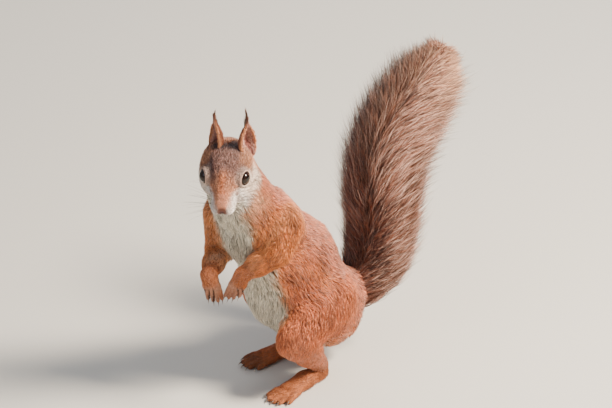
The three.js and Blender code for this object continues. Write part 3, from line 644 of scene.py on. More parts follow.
# ---------------------------------------------------------------- lie of the coat
# Each row is a stretch of body: its piece, its ends and radii, then hair length and coat
# depth at both ends in mm. Hairs run from the first end to the second.
def lie_rows():
    """(piece, a, b, radius a, radius b, length a, length b, depth a, depth b, lie or None)."""
    rows = [
        ("head", head_point(0, 25, -6.5), head_point(0, 6, -2), 7, 13.5, 1.5, 2.6, 0.5, 0.9, None),
        ("head", head_point(0, 6, -2), head_point(0, -14, 0), 15, 16, 2.8, 4.6, 1.0, 1.5, None),
        ("neck", head_point(0, -9, -4), NECK, 17, 20, 5.0, 7.0, 1.8, 3.0, None),
        ("neck", NECK, CHEST, 20, 27, 7.0, 8.0, 3.0, 3.4, None),
        ("back", CHEST, WAIST, 27, 33, 8.0, 8.5, 3.4, 3.5, None),
        ("back", BELLY + [0, -4, 12], BELLY + [0, 6, -12], 28, 26, 8.0, 8.0, 3.2, 3.2, None),
        ("rump", WAIST, PELVIS, 33, 31, 8.5, 9.0, 3.5, 3.6, None),
        ("rump", PELVIS, TAIL_PATH[0], 25, 16, 9.0, 10.0, 3.6, 3.6, None),
        ("rump", PELVIS, RUMP, 26, 22, 9.0, 9.5, 3.6, 4.2, unit([0, 0.35, -0.94])),
        ("rump", TAIL_PATH[0], TAIL_PATH[1], 15, 12, 10.0, 12.0, 3.2, 4.0, None),
    ]
    for side, leg in LEGS.items():
        lie = unit(unit(leg["knee"] - leg["hip"]) + [0, 0.25, -0.75])
        ankle = spot(*leg["heel"], 11)
        ball_of_foot = spot(*leg["foot"], 4)
        toe_ends = ball_of_foot + unit(ball_of_foot - ankle) * 14
        rows.append(("thigh_" + side, leg["hip"], leg["knee"], 24, 13.5, 8.5, 6.5, 3.2, 2.3, lie))
        rows.append(("leg_" + side, leg["knee"] + [0, 2, -4], ankle, 12.5, 7, 6.0, 3.6, 2.0, 1.2, None))
        rows.append(("leg_" + side, ankle + [0, 0, -4], ball_of_foot, 7, 6, 2.6, 1.8, 0.8, 0.5, None))
        rows.append(("leg_" + side, ball_of_foot, toe_ends, 6, 4, 1.7, 1.3, 0.5, 0.3, None))
    for side, arm in ARMS.items():
        rows.append(("arm_" + side, arm["shoulder"], arm["elbow"], 14, 9.6, 7.0, 5.2, 2.4, 1.9, None))
        rows.append(("arm_" + side, arm["elbow"], arm["wrist"], 9, 6, 4.8, 2.8, 1.7, 0.9, None))
        rows.append(("arm_" + side, arm["wrist"], arm["tips"], 6.5, 4.5, 2.3, 1.1, 0.6, 0.16, None))
    return rows


ROWS = lie_rows()
CHARTS = {
    "head": [head_point(0, 32, -8), head_point(0, 6, -2), head_point(0, -20, 1)],
    "neck": [head_point(0, -12, -4), NECK, CHEST],
    "back": [CHEST, WAIST, BELLY],
    "rump": [WAIST, PELVIS, TAIL_PATH[0], TAIL_PATH[1]],
}
for side in SIDES:
    leg, arm = LEGS[side], ARMS[side]
    CHARTS["thigh_" + side] = [leg["hip"] - (leg["knee"] - leg["hip"]) * 0.4, leg["hip"], leg["knee"]]
    CHARTS["leg_" + side] = [leg["knee"], spot(*leg["heel"], 11), spot(*leg["foot"], 4)]
    CHARTS["arm_" + side] = [arm["shoulder"], arm["elbow"], arm["wrist"], arm["tips"]]


def coat_at(p):
    """Blends the rows near each point: piece number, lie, hair length and coat depth."""
    d = np.stack([cone(p, r[1], r[2], r[3], r[4]) for r in ROWS], 1)
    w = np.exp(-(d - d.min(1, keepdims=True)) / 2.2)
    w /= w.sum(1, keepdims=True)
    lie = np.zeros((len(p), 3))
    length, depth = np.zeros(len(p)), np.zeros(len(p))
    for i, (_, a, b, _, _, la, lb, da, db, way) in enumerate(ROWS):
        ab = b - a
        t = np.clip((p - a) @ ab / (ab @ ab), 0, 1)
        lie += w[:, i:i + 1] * (unit(ab) if way is None else way)
        length += w[:, i] * (la + (lb - la) * t)
        depth += w[:, i] * (da + (db - da) * t)
    face = smooth(4, 0, head_zone(p)) * smooth(-16, -2, from_head(p)[:, 1])
    lie = unit(lie + (unit(p - head_point(0, 34, -7)) * 1.6 - lie) * face[:, None])
    for side in SIDES:
        e, _ = from_eye(p, side)
        away = unit(e[:, :1] * EYE_AXES[side][0] + e[:, 1:2] * EYE_AXES[side][1] + 1e-6)
        lids = smooth(9.5, 5.5, np.hypot(e[:, 0], e[:, 1])) * smooth(-5, -1, e[:, 2])
        lie = lie + away * (lids * (1.3 - np.minimum((lie * away).sum(1), 0)))[:, None]
        length, depth = length * (1 - 0.5 * lids), depth * (1 - 0.45 * lids)
    return d.argmin(1), unit(lie), length, depth


def chart(p, chain):
    """Unwraps points round a chain: u is the angle round it over 2 pi and v the length along it, each
    within 0.02 to 0.98."""
    place, off, way = along(p, chain)
    ends = np.array([chain[0] - (chain[1] - chain[0]), *chain, chain[-1] * 2 - chain[-2]])
    reach = np.concatenate([[0], np.cumsum(np.linalg.norm(np.diff(ends, axis=0), axis=1))])
    beyond = (off * way).sum(1)
    v = np.interp(place, np.arange(len(chain)), reach[1:-1]) + beyond
    seam_away = np.array([0.0, -1.0, 0.12])
    front = unit(seam_away - way * (way @ seam_away)[:, None])
    side = np.cross(way, front)
    u = np.arctan2((off * side).sum(1), -(off * front).sum(1)) / (2 * np.pi) + 0.5
    v = (v - v.min()) / max(np.ptp(v), 1e-6)
    return np.stack([0.02 + 0.96 * u, 0.02 + 0.96 * v], 1)


def cell_code(key):
    """One whole number for each cell's three indices."""
    return (key[:, 0] * 73856093) ^ (key[:, 1] * 19349663) ^ (key[:, 2] * 83492791)


def scatter(verts, quads, density, seed):
    """Random places on the mesh, that many per mm^2, thinned to about one per cell of a fine lattice."""
    dice = np.random.default_rng(seed)
    tris = np.concatenate([quads[:, [0, 1, 2]], quads[:, [0, 2, 3]]])
    a, b, c = (verts[tris[:, i]] for i in range(3))
    area = np.linalg.norm(np.cross(b - a, c - a), axis=1) / 2
    share = area * density(verts[tris].mean(1))
    want = int(share.sum())
    pick = dice.choice(len(tris), want * 2, p=share / share.sum())
    r, s = dice.random(want * 2), dice.random(want * 2)
    flip = r + s > 1
    r[flip], s[flip] = 1 - r[flip], 1 - s[flip]
    p = a[pick] + r[:, None] * (b - a)[pick] + s[:, None] * (c - a)[pick]
    cell = 0.8 / np.sqrt(density(p))
    level = np.round(np.log2(cell) * 2)
    key = np.floor(p / (2 ** (level / 2))[:, None]).astype(np.int64)
    _, first = np.unique(cell_code(key) + level.astype(np.int64) * 7, return_index=True)
    rest = np.setdiff1d(np.arange(len(p)), first)
    extra = dice.permutation(rest)[:max(want - len(first), 0)]
    first = dice.permutation(first)[:want]
    return p[np.concatenate([first, extra])]


def locks(path, width, flat, up):
    """Three-sided tapering locks along paths (N, K, 3): K - 1 rings of two edges and a ridge, a point."""
    n, k = path.shape[:2]
    run = np.gradient(path, axis=1)
    side = unit(np.cross(run, up))
    rise = unit(np.cross(side, run))
    w = width[:, :, None]
    rings = np.stack([path - side * w / 2, path + side * w / 2, path + rise * w * flat], 2)[:, :-1]
    verts = np.concatenate([rings.reshape(n, -1, 3), path[:, -1:]], 1)
    faces = [[0, 1, 2]]
    for i in range(k - 2):
        for j in range(3):
            a, b = i * 3 + j, i * 3 + (j + 1) % 3
            faces += [[a, a + 3, b + 3], [a, b + 3, b]]
    tip = (k - 1) * 3
    for j in range(3):
        a, b = tip - 3 + j, tip - 3 + (j + 1) % 3
        faces.append([a, tip, b])
    faces = (np.array(faces)[None] + np.arange(n)[:, None, None] * (tip + 1)).reshape(-1, 3)
    return verts.reshape(-1, 3), faces


def per_corner(values):
    """Spreads values (N, K, c) over a lock's corners: three per ring, one at the tip."""
    rings = np.repeat(values[:, :-1], 3, 1)
    return np.concatenate([rings, values[:, -1:]], 1).reshape(-1, values.shape[2])


def patches(at, k):
    """Each lock's corners round its root's place on the unwrap, within half the patch's width and length."""
    half_wide, half_long = 0.0012, 0.0014
    n = len(at)
    place = np.zeros((n, k, 3, 2))
    place[:, :, :, 1] = np.linspace(-half_long, half_long, k)[None, :, None]
    place[:, :, 0, 0] = -half_wide
    place[:, :, 1, 0] = half_wide
    place += at[:, None, None]
    return np.concatenate([place[:, :-1].reshape(n, -1, 2), place[:, -1:, 2]], 1).reshape(-1, 2)


def coat_piece(name, path, width, flat, up, colours, at, stuff):
    """One joined mesh of locks with their colours and their patches on the unwrap."""
    verts, faces = locks(path, width, flat, up)
    ob = mesh_object(name, verts, [faces], per_corner(colours), stuff, patches(at, path.shape[1]))


def clumped(root, tip, size, pull, seed):
    """Pulls each tip towards the mean of its neighbours' tips in a warped cell of that size."""
    warp = np.stack([waves(root, size * 3, seed + i) for i in range(3)], 1) * size * 0.5
    key = np.floor((root + warp) / size).astype(np.int64)
    _, group = np.unique(cell_code(key), return_inverse=True)
    count = np.bincount(group)
    mean = np.stack([np.bincount(group, tip[:, i]) / count for i in range(3)], 1)[group]
    return tip + (mean - tip) * pull

# ---------------------------------------------------------------- body coat
# Overlapping tufts over the whole skin, shortest on the muzzle and toes, in clumps that
# break in waves over flank and haunch.

# How thickly the tufts cover the skin.
COVER = 4.1


def tuft_density(p):
    """COVER over the tuft's area to the power 0.62 per mm^2; less on the paws, none on soles, eyes, nose."""
    _, _, length, _ = coat_at(p)
    d = COVER / (length * (0.062 * length + 0.12)) ** 0.62
    paw = smooth(16, 12, p[:, 2])
    for arm in ARMS.values():
        palm = arm["wrist"] * 0.7 + arm["tips"] * 0.3
        paw = np.maximum(paw, smooth(8, 5, cone(p, palm, arm["tips"], 3, 3)))
    d = d * (1 - 0.45 * paw)
    d = d * smooth(1.2, 2.4, p[:, 2])
    for side in SIDES:
        e, ring = from_eye(p, side)
        d = d * np.where((ring < BARE) & (e[:, 2] > -4), 0, 1)
    d = d * np.where(np.linalg.norm(p - NOSE, axis=1) < 3.0, 0, 1)
    place, off, _ = along(p, list(TAIL_PATH))
    tail = smooth(1.2, 2.2, place) * smooth(30, 20, np.linalg.norm(off, axis=1)) * smooth(14, 20, p[:, 1])
    return d * (1 - tail) + 1e-6


def rotate(v, axis, angle):
    """Turns v about a unit axis at right angles to it: v cos a + (axis x v) sin a."""
    return v * np.cos(angle)[:, None] + np.cross(axis, v) * np.sin(angle)[:, None]


# The lowest that a tuft hangs over the floor, in mm.
LOWEST = 0.35
RNG = np.random.default_rng(7)
roots = scatter(SKIN_VERTS, SKIN_QUADS, tuft_density, 11)
_, up = slope(roots)
piece, lie, length, depth = coat_at(roots)
count = len(roots)
body = smooth(4.0, 7.0, length)
from_end = roots - np.array([r[1] for r in ROWS])[piece]
flow = roots - 0.8 * lie * (from_end * lie).sum(1)[:, None]
turn = waves(roots, 30, 21) * 0.30 * body + waves(roots, 9, 22) * 0.14 + RNG.normal(0, 0.13, count)
lie = rotate(unit(lie - up * (lie * up).sum(1)[:, None]), up, turn)
breaks = np.maximum(waves(roots * [1, 1, 0.8], 15, 23), 0) * body
reach = length * RNG.uniform(0.78, 1.2, count)
tips = clumped(roots, roots + lie * reach[:, None], 4.0, 0.26 * (0.3 + 0.7 * body)[:, None], 31)
tips = clumped(roots, tips, 1.9, 0.2, 41)
sideways = np.cross(lie, up) * (RNG.normal(0, 0.05, count) * length)[:, None]
middle = roots + (tips - roots) * 0.48 + sideways
height = depth * RNG.uniform(0.62, 1.12, count) * (1 + 0.34 * breaks)
# The middle rests at 0.72 of the tip's height over the skin.
for points, share in ((middle, 0.72), (tips, 1.0)):
    d, n = slope(points)
    points -= n * (d - height * share)[:, None]
    points[:, 2] = np.maximum(points[:, 2], LOWEST)
path = np.stack([roots - up * 0.25, middle, tips], 1)
width = (0.050 * length + 0.13) * RNG.uniform(0.75, 1.3, count)
width = np.stack([width * 0.85, width, width * 0], 1)
shade = markings_and_painted_light(roots + lie * (length * 0.25)[:, None])
_, f, u = from_head(roots).T
crown = smooth(4.5, 1.5, head_zone(roots)) * smooth(0, 5, u + 0.3 * f) * smooth(19, 12, f)
streak = waves(flow, 3.4, 51) * 0.19 + waves(flow, 1.5, 52) * 0.14
shade = shade * np.clip(1 + streak + RNG.normal(0, 0.15, count) - 0.24 * breaks, 0.45, 1.6)[:, None]
# A sixth of the tufts have dark ends, more on the crown, and a third have pale ones.
kind = RNG.random(count)
dark = (kind < 0.16 + 0.27 * crown) * (0.4 + 0.6 * np.maximum(body, crown))
pale = (kind > 0.68) * (0.35 + 0.3 * body + 0.35 * crown)
tip = shade * 1.16 + (np.minimum(shade * 1.5 + 0.12, 0.95) - shade * 1.16) * pale[:, None]
# Each tuft darker at the root and paler at the tip: partly the hairs' own darker bases, partly painted shade
# deep in the coat.
cut = np.stack([shade * 0.38, shade * (0.86 - 0.42 * dark)[:, None], tip * (1 - 0.6 * dark)[:, None]], 1)
for name, chain in CHARTS.items():
    own = np.isin(piece, [i for i, r in enumerate(ROWS) if r[0] == name])
    coat_piece("coat_" + name, path[own], width[own], 0.42, up[own][:, None], cut[own],
               chart(roots[own], chain), COAT)

# ---------------------------------------------------------------- tail
# Long hairs parted to both sides of a thin core, dark near it and buff towards the edge,
# with dark wisps past the outline.

# Half the tail's width and depth at each point of its path, in mm.
TAIL_WIDTH = np.array([13, 15, 24, 36, 42, 44.5, 45, 44, 38, 15])
TAIL_DEPTH = np.array([13, 14, 17, 21, 23, 24, 24, 23, 20, 11.0])


def smooth_path(stops, t):
    """Catmull-Rom through the stops at t in stops, with its direction."""
    i = np.clip(np.floor(t).astype(int), 0, len(stops) - 2)
    f = (t - i)[:, None]
    p0, p1 = stops[np.maximum(i - 1, 0)], stops[i]
    p2, p3 = stops[i + 1], stops[np.minimum(i + 2, len(stops) - 1)]
    at = 0.5 * (2 * p1 + (p2 - p0) * f + (2 * p0 - 5 * p1 + 4 * p2 - p3) * f ** 2
                + (3 * p1 - p0 - 3 * p2 + p3) * f ** 3)
    way = 0.5 * ((p2 - p0) + 2 * (2 * p0 - 5 * p1 + 4 * p2 - p3) * f
                 + 3 * (3 * p1 - p0 - 3 * p2 + p3) * f ** 2)
    return at, unit(way)


def tail_hairs(count, low, high, seed):
    """Roots on the core between t = low and high and ends on the outline ahead, bowed out from the root."""
    dice = np.random.default_rng(seed)
    # Where each hair ends: most inside the outline, a quarter on it and a few wisps past it.
    t = dice.uniform(low, high, count)
    inner = dice.random(count) < 0.5
    share = np.where(inner, dice.uniform(0.5, 0.82, count), dice.uniform(0.76, 0.93, count))
    fringe = dice.random(count) < 0.26
    share = np.where(fringe, dice.uniform(0.9, 1.05, count), share)
    wisp = dice.random(count) < 0.08
    share = np.where(wisp, dice.uniform(1.0, 1.1, count), share)
    a_tip = dice.uniform(0, 2 * np.pi, count)
    a_tip = a_tip - 0.2 * np.sin(2 * a_tip)
    lateral = np.arctan2(np.cos(a_tip), np.abs(np.sin(a_tip)))
    draped = (dice.random(count) < 0.75) & ~(fringe | wisp)
    a = np.where(draped, np.sign(np.sin(a_tip)) * (np.pi / 2 - 0.5 * lateral), a_tip)
    ahead = dice.uniform(0.35, 0.85, count) + 0.32 * np.abs(np.cos(a_tip))
    ahead = ahead * np.interp(t, [0, 1, 2, 7, 8.4, 9], [1.2, 1.2, 1.0, 1.0, 0.9, 0.7])
    end = np.minimum(t + ahead, 9.0)
    over = t + ahead - end
    base, way = smooth_path(TAIL_PATH, t)
    tip, tip_way = smooth_path(TAIL_PATH, end)
    wide = np.array([1.0, 0, 0])
    core = np.interp(t, np.arange(10), CORE_R) - 0.4

    def ring(at, way, w, d, a):
        """at + X w cos a + n d sin a, with n square to the path and X."""
        n = unit(np.cross(way, wide))
        return at + (np.cos(a) * w)[:, None] * wide + n * (np.sin(a) * d)[:, None]

    root = ring(base, way, core, core, a)
    narrow = np.sqrt(np.maximum(1 - (over / 1.05) ** 2, 0.02))
    half_w = np.interp(end, np.arange(10), TAIL_WIDTH) * narrow
    half_d = np.interp(end, np.arange(10), TAIL_DEPTH) * narrow
    clump = 1 + 0.05 * waves(ring(tip, tip_way, half_w, half_d, a_tip), 9, seed + 1)
    onward = tip_way * (over * 7 - 3 * smooth(8.4, 9.0, end))[:, None]
    tips = ring(tip + onward, tip_way, half_w * share * clump, half_d * share * clump, a_tip)
    tips = tips + dice.normal(0, 1.9, (count, 3)) * (1 + 0.5 * smooth(7.2, 9.0, end))[:, None]
    stray = (dice.random(count) < 0.02) & (t > 5.4) & (t < 8.4) & (np.cos(a) > 0.3)
    tips = tips + unit([0.42, 0.9, 0.1]) * (stray * dice.uniform(4, 13, count))[:, None]
    wisp = wisp | stray
    tips = clumped(root * 0.4 + tips * 0.6, tips, 2.7, 0.2, seed + 2)
    out = unit(ring(base, way, 1.0, 1.0, a) - base)
    size = np.linalg.norm(tips - root, axis=1)[:, None]
    bow = root + (out * np.where(draped, 0.54, 0.4)[:, None] + way * 0.06) * size
    s = np.array([0, 0.34, 0.68, 1.0])[None, :, None]
    path = root[:, None] * (1 - s) ** 2 + 2 * bow[:, None] * s * (1 - s) + tips[:, None] * s ** 2
    path[:, 1:3] += dice.normal(0, 0.5, (count, 2, 3))
    path[:, :, 2] = np.maximum(path[:, :, 2], 1.0)
    return t, a_tip, share, wisp, path, out


def tail_colours(t, a, share, wisp, dice):
    """Root to tip: dark brown core, warm middle, buff or greyish end, and nearly black wisps, with painted
    light on the side toward the key light and painted shade on the other.
    """
    n = len(t)
    edge = smooth(0.3, 0.9, np.abs(np.cos(a)))[:, None]
    high = smooth(5.4, 7.6, t)
    low = smooth(3.4, 1.2, t)
    kind = dice.random(n)

    def strand(*codes):
        """One row of four colours, root to tip, for every hair."""
        return np.repeat(np.array([tone(code) for code in codes])[None], n, 0)

    both = strand("452a1f", "7a4836", "9c624a", "ac745c")
    ticked = strand("452a1f", "86523e", "a87058", "4a3026")
    pale = strand("50342a", "8c6252", "ba9080", "d8b2a0")
    pale[:, 3] = paint(paint(pale[:, 3], "d8a678", high * 0.7), "c2a99c", low * 0.6)
    dark = strand("33201a", "432a22", "49302a", "33251f")
    both = np.where((kind < 0.44)[:, None, None], ticked, both)
    both = np.where((kind < 0.18)[:, None, None], dark, both)
    both = np.where((kind > 0.75 - 0.1 * edge[:, 0] - 0.12 * high)[:, None, None], pale, both)
    # Painted light: tips paler and golden on the side that faces the key light, and painted shade darkening
    # the side away from it.
    toward = 0.64 * np.cos(a) + 0.77 * np.sin(a)
    painted_lit_tips = smooth(5.6, 7.4, t) * smooth(0.0, 0.8, toward) * (kind > 0.3)
    both[:, 3] = paint(both[:, 3], "dca878", painted_lit_tips * 0.6)
    shaded = 0.45 * smooth(-0.1, -0.8, toward) * smooth(3.8, 5.4, t) * smooth(8.8, 7.4, t)
    both = both * (1 - shaded)[:, None, None]
    fringe = smooth(0.96, 1.0, share) * (kind < 0.6)
    both[:, 2] = paint(both[:, 2], "5a4034", np.maximum(fringe * 0.7, wisp))
    both[:, 3] = paint(both[:, 3], "43302a", np.maximum(fringe * 0.9, wisp))
    return both * np.clip(1 + dice.normal(0, 0.16, n), 0.5, 1.6)[:, None, None]


# Each piece's stretch of the path and its number of hairs.
for name, low, high, count in (("base", 0.7, 3.2, 9000), ("middle", 3.2, 6.0, 10500),
                               ("tip", 6.0, 9.0, 10000)):
    dice = np.random.default_rng(count + 1)
    t, a, share, wisp, path, out = tail_hairs(count, low, high, count)
    width = RNG.uniform(0.30, 0.54, count)[:, None] * np.array([1.1, 1.0, 0.8, 0])
    at = np.stack([0.02 + 0.96 * (a / (2 * np.pi) % 1), 0.02 + 0.96 * (t - low) / (high - low)], 1)
    colours = tail_colours(t, a, share, wisp, dice)
    coat_piece("coat_tail_" + name, path, width, 0.5, out[:, None], colours, at, BRUSH)

# ---------------------------------------------------------------- ears' coat
# Short hairs outside and in along the cup, paler on its rim by a painted highlight, and a
# thin dark tuft at the tip.
for side, sign in SIDES.items():
    dice = np.random.default_rng(60 + sign)
    count = 3000
    t = dice.uniform(0.02, 0.97, count) ** 1.05
    a = dice.uniform(-np.pi / 2, np.pi / 2, count)
    inside = dice.random(count) < 0.36
    a = np.where(inside, np.sign(a) * (np.abs(a) / (np.pi / 2)) ** 0.6 * np.pi / 2, a)
    base, lean, facing, across = ear_frame(sign)
    root = ear_place(sign, t, a, 0.5, inside)
    step = ear_place(sign, np.minimum(t + 0.02, 1), a, 0.5, inside)
    outward = np.where(inside[:, None], facing, np.sin(a)[:, None] * across - np.cos(a)[:, None] * facing)
    run = unit(step - root)
    size = np.interp(t, [0, 0.3, 1], [3.6, 2.6, 2.2]) * dice.uniform(0.7, 1.2, count)
    tip = root + run * size[:, None] + outward * dice.uniform(0.35, 0.8, count)[:, None]
    tip = tip + dice.normal(0, 0.25, (count, 3))
    middle = (root + tip) / 2 + outward * 0.3
    shade = ear_colour(a, t, inside.astype(float), sign) * (1 + dice.normal(0, 0.13, count))[:, None]
    cut = np.stack([shade * 0.6, shade * 0.95, shade * 1.1], 1)
    width = np.stack([np.full(count, 0.34), np.full(count, 0.3), np.zeros(count)], 1)
    at = np.stack([0.02 + 0.96 * (a / np.pi + 0.5) * 0.49 + 0.5 * inside, 0.02 + 0.96 * t], 1)
    # The tuft: fewer, longer and darker hairs that gather above the tip, thinner on the right ear.
    tufts = 150
    tuft_t = dice.uniform(0.72, 1.0, tufts)
    tuft_a = dice.uniform(-1.5, 1.5, tufts)
    tuft_root = ear_place(sign, tuft_t, tuft_a, 0.6, np.zeros(tufts, bool))
    tuft_size = dice.uniform(3.5, 10.5, tufts) * (1.0 if sign > 0 else 0.6)
    top = base + lean * 44 - facing * 2.0
    tuft_tip = tuft_root + unit(top - tuft_root) * tuft_size[:, None] + dice.normal(0, 0.35, (tufts, 3))
    tuft_middle = (tuft_root + tuft_tip) / 2 + dice.normal(0, 0.2, (tufts, 3))
    dark = np.repeat(tone("5b3a2c")[None], tufts, 0) * (1 + dice.normal(0, 0.15, tufts))[:, None]
    path = np.concatenate([np.stack([root, middle, tip], 1),
                           np.stack([tuft_root, tuft_middle, tuft_tip], 1)])
    cut = np.concatenate([cut, np.stack([dark, dark, paint(dark, "b98e72", np.full(tufts, 0.5))], 1)])
    width = np.concatenate([width, np.tile([0.34, 0.28, 0], (tufts, 1))])
    at = np.concatenate([at, np.stack([0.02 + 0.47 * (tuft_a / np.pi + 0.5), 0.02 + 0.96 * tuft_t], 1)])
    rise = np.concatenate([outward, np.repeat(-facing[None], tufts, 0)])
    coat_piece("coat_ear_" + side, path, width, 0.4, rise[:, None], cut, at, COAT)

# ---------------------------------------------------------------- eyes
# Glossy dark globes set in their lids, the iris a shade lighter round a wide pupil. They
# stand for the solids' eyes.
def capped(grid, first, last):
    """Rings of points (N, K, 3) joined by quads, closed by a fan to the first and the last point."""
    n, k = grid.shape[:2]
    j = np.arange(k)
    low = np.stack([(j + 1) % k, j, np.full(k, n * k)], 1)
    high = np.stack([(n - 1) * k + j, (n - 1) * k + (j + 1) % k, np.full(k, n * k + 1)], 1)
    verts = np.concatenate([grid.reshape(-1, 3), [first, last]])
    return verts, [grid_faces(n, k), np.concatenate([low, high])]


def turned(centre, axes, rings, corners):
    """A closed surface of rings (height, radius) round the third axis."""
    a = np.arange(corners) * 2 * np.pi / corners
    grid = np.stack([centre + axes[2] * h + r * (np.cos(a)[:, None] * axes[0] + np.sin(a)[:, None] * axes[1])
                     for h, r in rings])
    return capped(grid, grid[0].mean(0), grid[-1].mean(0))


EYE_R = 4.7
# Wet, dark cornea, smooth as glass.
EYE = painted("wet_eye", 0.05, Specular_IOR_Level=0.35)
for side in SIDES:
    axes = EYE_AXES[side] if side == "left" else EYE_AXES[side] * np.array([[-1], [1], [1]])
    lat = np.concatenate([np.linspace(-88, 30, 16), np.linspace(34, 88, 16)]) * np.pi / 180
    rings = [(EYE_R * np.sin(b), EYE_R * np.cos(b)) for b in lat]
    verts, faces = turned(EYES[side], axes, rings, 40)
    around = np.linalg.norm((verts - EYES[side]) @ np.array(EYE_AXES[side][:2]).T, axis=1)
    c = np.repeat(tone("0b0706")[None], len(verts), 0)
    front = (verts - EYES[side]) @ EYE_AXES[side][2] > 0
    c = paint(c, "1f110b", smooth(2.3, 2.9, around) * smooth(4.4, 3.9, around) * front)
    ob = mesh_object("eyeball_" + side, verts, faces, c, EYE)
    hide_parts("eye_" + side)

# ---------------------------------------------------------------- nose
# A small bare pad with two comma-shaped nostrils and the cleft below, meshed from its own
# distance field.

# The two ends of the nostril's comma-shaped tail, in mm left, forward and up of the nose.
COMMA = np.array([[1.6, 1.1, 0.7], [3.0, -0.6, 1.75]])


def nose_field(p):
    """Two wings and a middle, less the nostrils' cones and the cleft."""
    q = (p - NOSE.astype(p.dtype)) @ HEAD_AXES.T.astype(p.dtype)
    q = q.astype(float)
    m = np.abs(q[:, 0])
    r = np.stack([m, q[:, 1], q[:, 2]], 1)
    wing = cone(r, np.array([1.3, -2.6, 0.1]), np.array([1.25, -0.5, 0.1]), 1.75, 1.3)
    middle = cone(r, np.array([0, -2.6, 0.7]), np.array([0, -0.4, -0.3]), 1.7, 1.3)
    d = melt([wing, middle], 1.0)
    hole = cone(r, np.array([1.35, 1.5, 0.45]), np.array([1.6, -0.9, 0.5]), 0.78, 0.5)
    d = -melt([-d, melt([hole, cone(r, *COMMA, 0.45, 0.3)], 0.3)], 0.3)
    return d + 0.45 * np.exp(-(m / 0.28) ** 2) * smooth(0.2, -0.5, r[:, 2])


# Bare, finely creased skin, a little moist.
NOSE_PAD = painted("nose_leather", 0.42, 0.18, 0.5, 0.12, Specular_IOR_Level=0.45)
line = [np.arange(c - 5.6, c + 5.6, 0.22) for c in NOSE]
verts, quads = surface_net(nose_field, *line)
c = np.repeat(tone("50302d")[None], len(verts), 0)
q = (verts - NOSE) @ HEAD_AXES.T
m = np.abs(q[:, 0])
c = paint(c, "1c0f0e", smooth(1.35, 0.7, np.hypot(m - 1.5, q[:, 2] - 0.5)) * smooth(-0.6, 0.0, q[:, 1]))
c = paint(c, "1c0f0e", smooth(1.0, 0.5, cone(np.stack([m, q[:, 1], q[:, 2]], 1), *COMMA, 0.2, 0.1)))
c = paint(c, "7c524a", smooth(0.4, 1.2, q[:, 2]) * 0.5)
nose = mesh_object("nose_pad", verts, [quads], c, NOSE_PAD)
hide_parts("nose")

# ---------------------------------------------------------------- claws
# Curved, tapering horn with a brown root and a paler point, one mesh for each claw of the
# solids.
CLAW = painted("claw_horn", 0.35, Specular_IOR_Level=0.5, Coat_Weight=0.2, Coat_Roughness=0.2)


def claw(name, a, b, c, ra, rb):
    """A bezier a, b, c with a radius that tapers from ra to rb, flattened sideways."""
    s = np.linspace(0, 1, 9)[:, None]
    path = a * (1 - s) ** 2 + 2 * b * s * (1 - s) + c * s ** 2
    run = unit(np.gradient(path, axis=0))
    flat = unit(np.cross(run, unit(np.cross(b - a, c - b))))
    side = np.cross(run, flat)
    angle = (np.arange(10) * 2 * np.pi / 10)[None, :, None]
    r = (ra + (rb - ra) * s[:, 0] ** 0.8)[:, None, None]
    grid = path[:, None] + r * (np.cos(angle) * flat[:, None] + 0.72 * np.sin(angle) * side[:, None])
    verts, faces = capped(grid, path[0], path[-1] + run[-1] * rb)
    t = np.concatenate([np.repeat(s[:, 0], 10), [0, 1]])
    shade = paint(np.repeat(tone("4b3428")[None], len(t), 0), "a08468", smooth(0.45, 1.0, t))
    ob = mesh_object(name + "_horn", verts, faces, shade, CLAW)
    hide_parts(name)


for side, arm in ARMS.items():
    down = arm["tips"] - arm["wrist"]
    way = unit(down)
    front = unit(np.cross(ARM_SPREAD, down))
    for i in range(4):
        s = (i - 1.5) / 1.5
        end = arm["wrist"] + down * (1 - 0.1 * s * s) + ARM_SPREAD * s * 4.9
        claw(f"foreclaw_{side}_{i + 1}", end - way * 1.4, end + way * 1.8 + front * 0.9,
             end + way * 3.1 - front * 2.2, 0.95, 0.14)
for side, leg in LEGS.items():
    _, toes, ahead, across = FEET[side]
    for i in range(5):
        end = toes[2 * i + 1][1].copy()
        way = unit(end - toes[2 * i][0]) * [1, 1, 0]
        end[2] = 2.2
        claw(f"hindclaw_{side}_{i + 1}", end - way * 1.0, end + way * 2.6 + UPRIGHT * 1.1,
             end + way * 4.4 - UPRIGHT * 1.6, 1.05, 0.16)

# ---------------------------------------------------------------- whiskers
# Stiff dark hairs: four rows of four on each muzzle pad, three over each eye and two on
# each cheek.
HAIR = material("whisker_hair", 0.4, Base_Color=(*tone("2b201c"), 1), Specular_IOR_Level=0.5)


def whisker(root, way, size, sag, r):
    """A bowed hair: root + way s size - up sag s^2, with radius r (1 - 0.88 s), nine rings and five sides."""
    s = np.linspace(0, 1, 9)[:, None]
    path = root + unit(way) * s * size + UPRIGHT * (-sag * s ** 2)
    run = unit(np.gradient(path, axis=0))
    side = unit(np.cross(run, UPRIGHT + 0.01))
    rise = np.cross(side, run)
    a = (np.arange(5) * 2 * np.pi / 5)[None, :, None]
    wide = (r * (1 - 0.88 * s))[:, None]
    return (path[:, None] + wide * (np.cos(a) * side[:, None] + np.sin(a) * rise[:, None])).reshape(-1, 3)


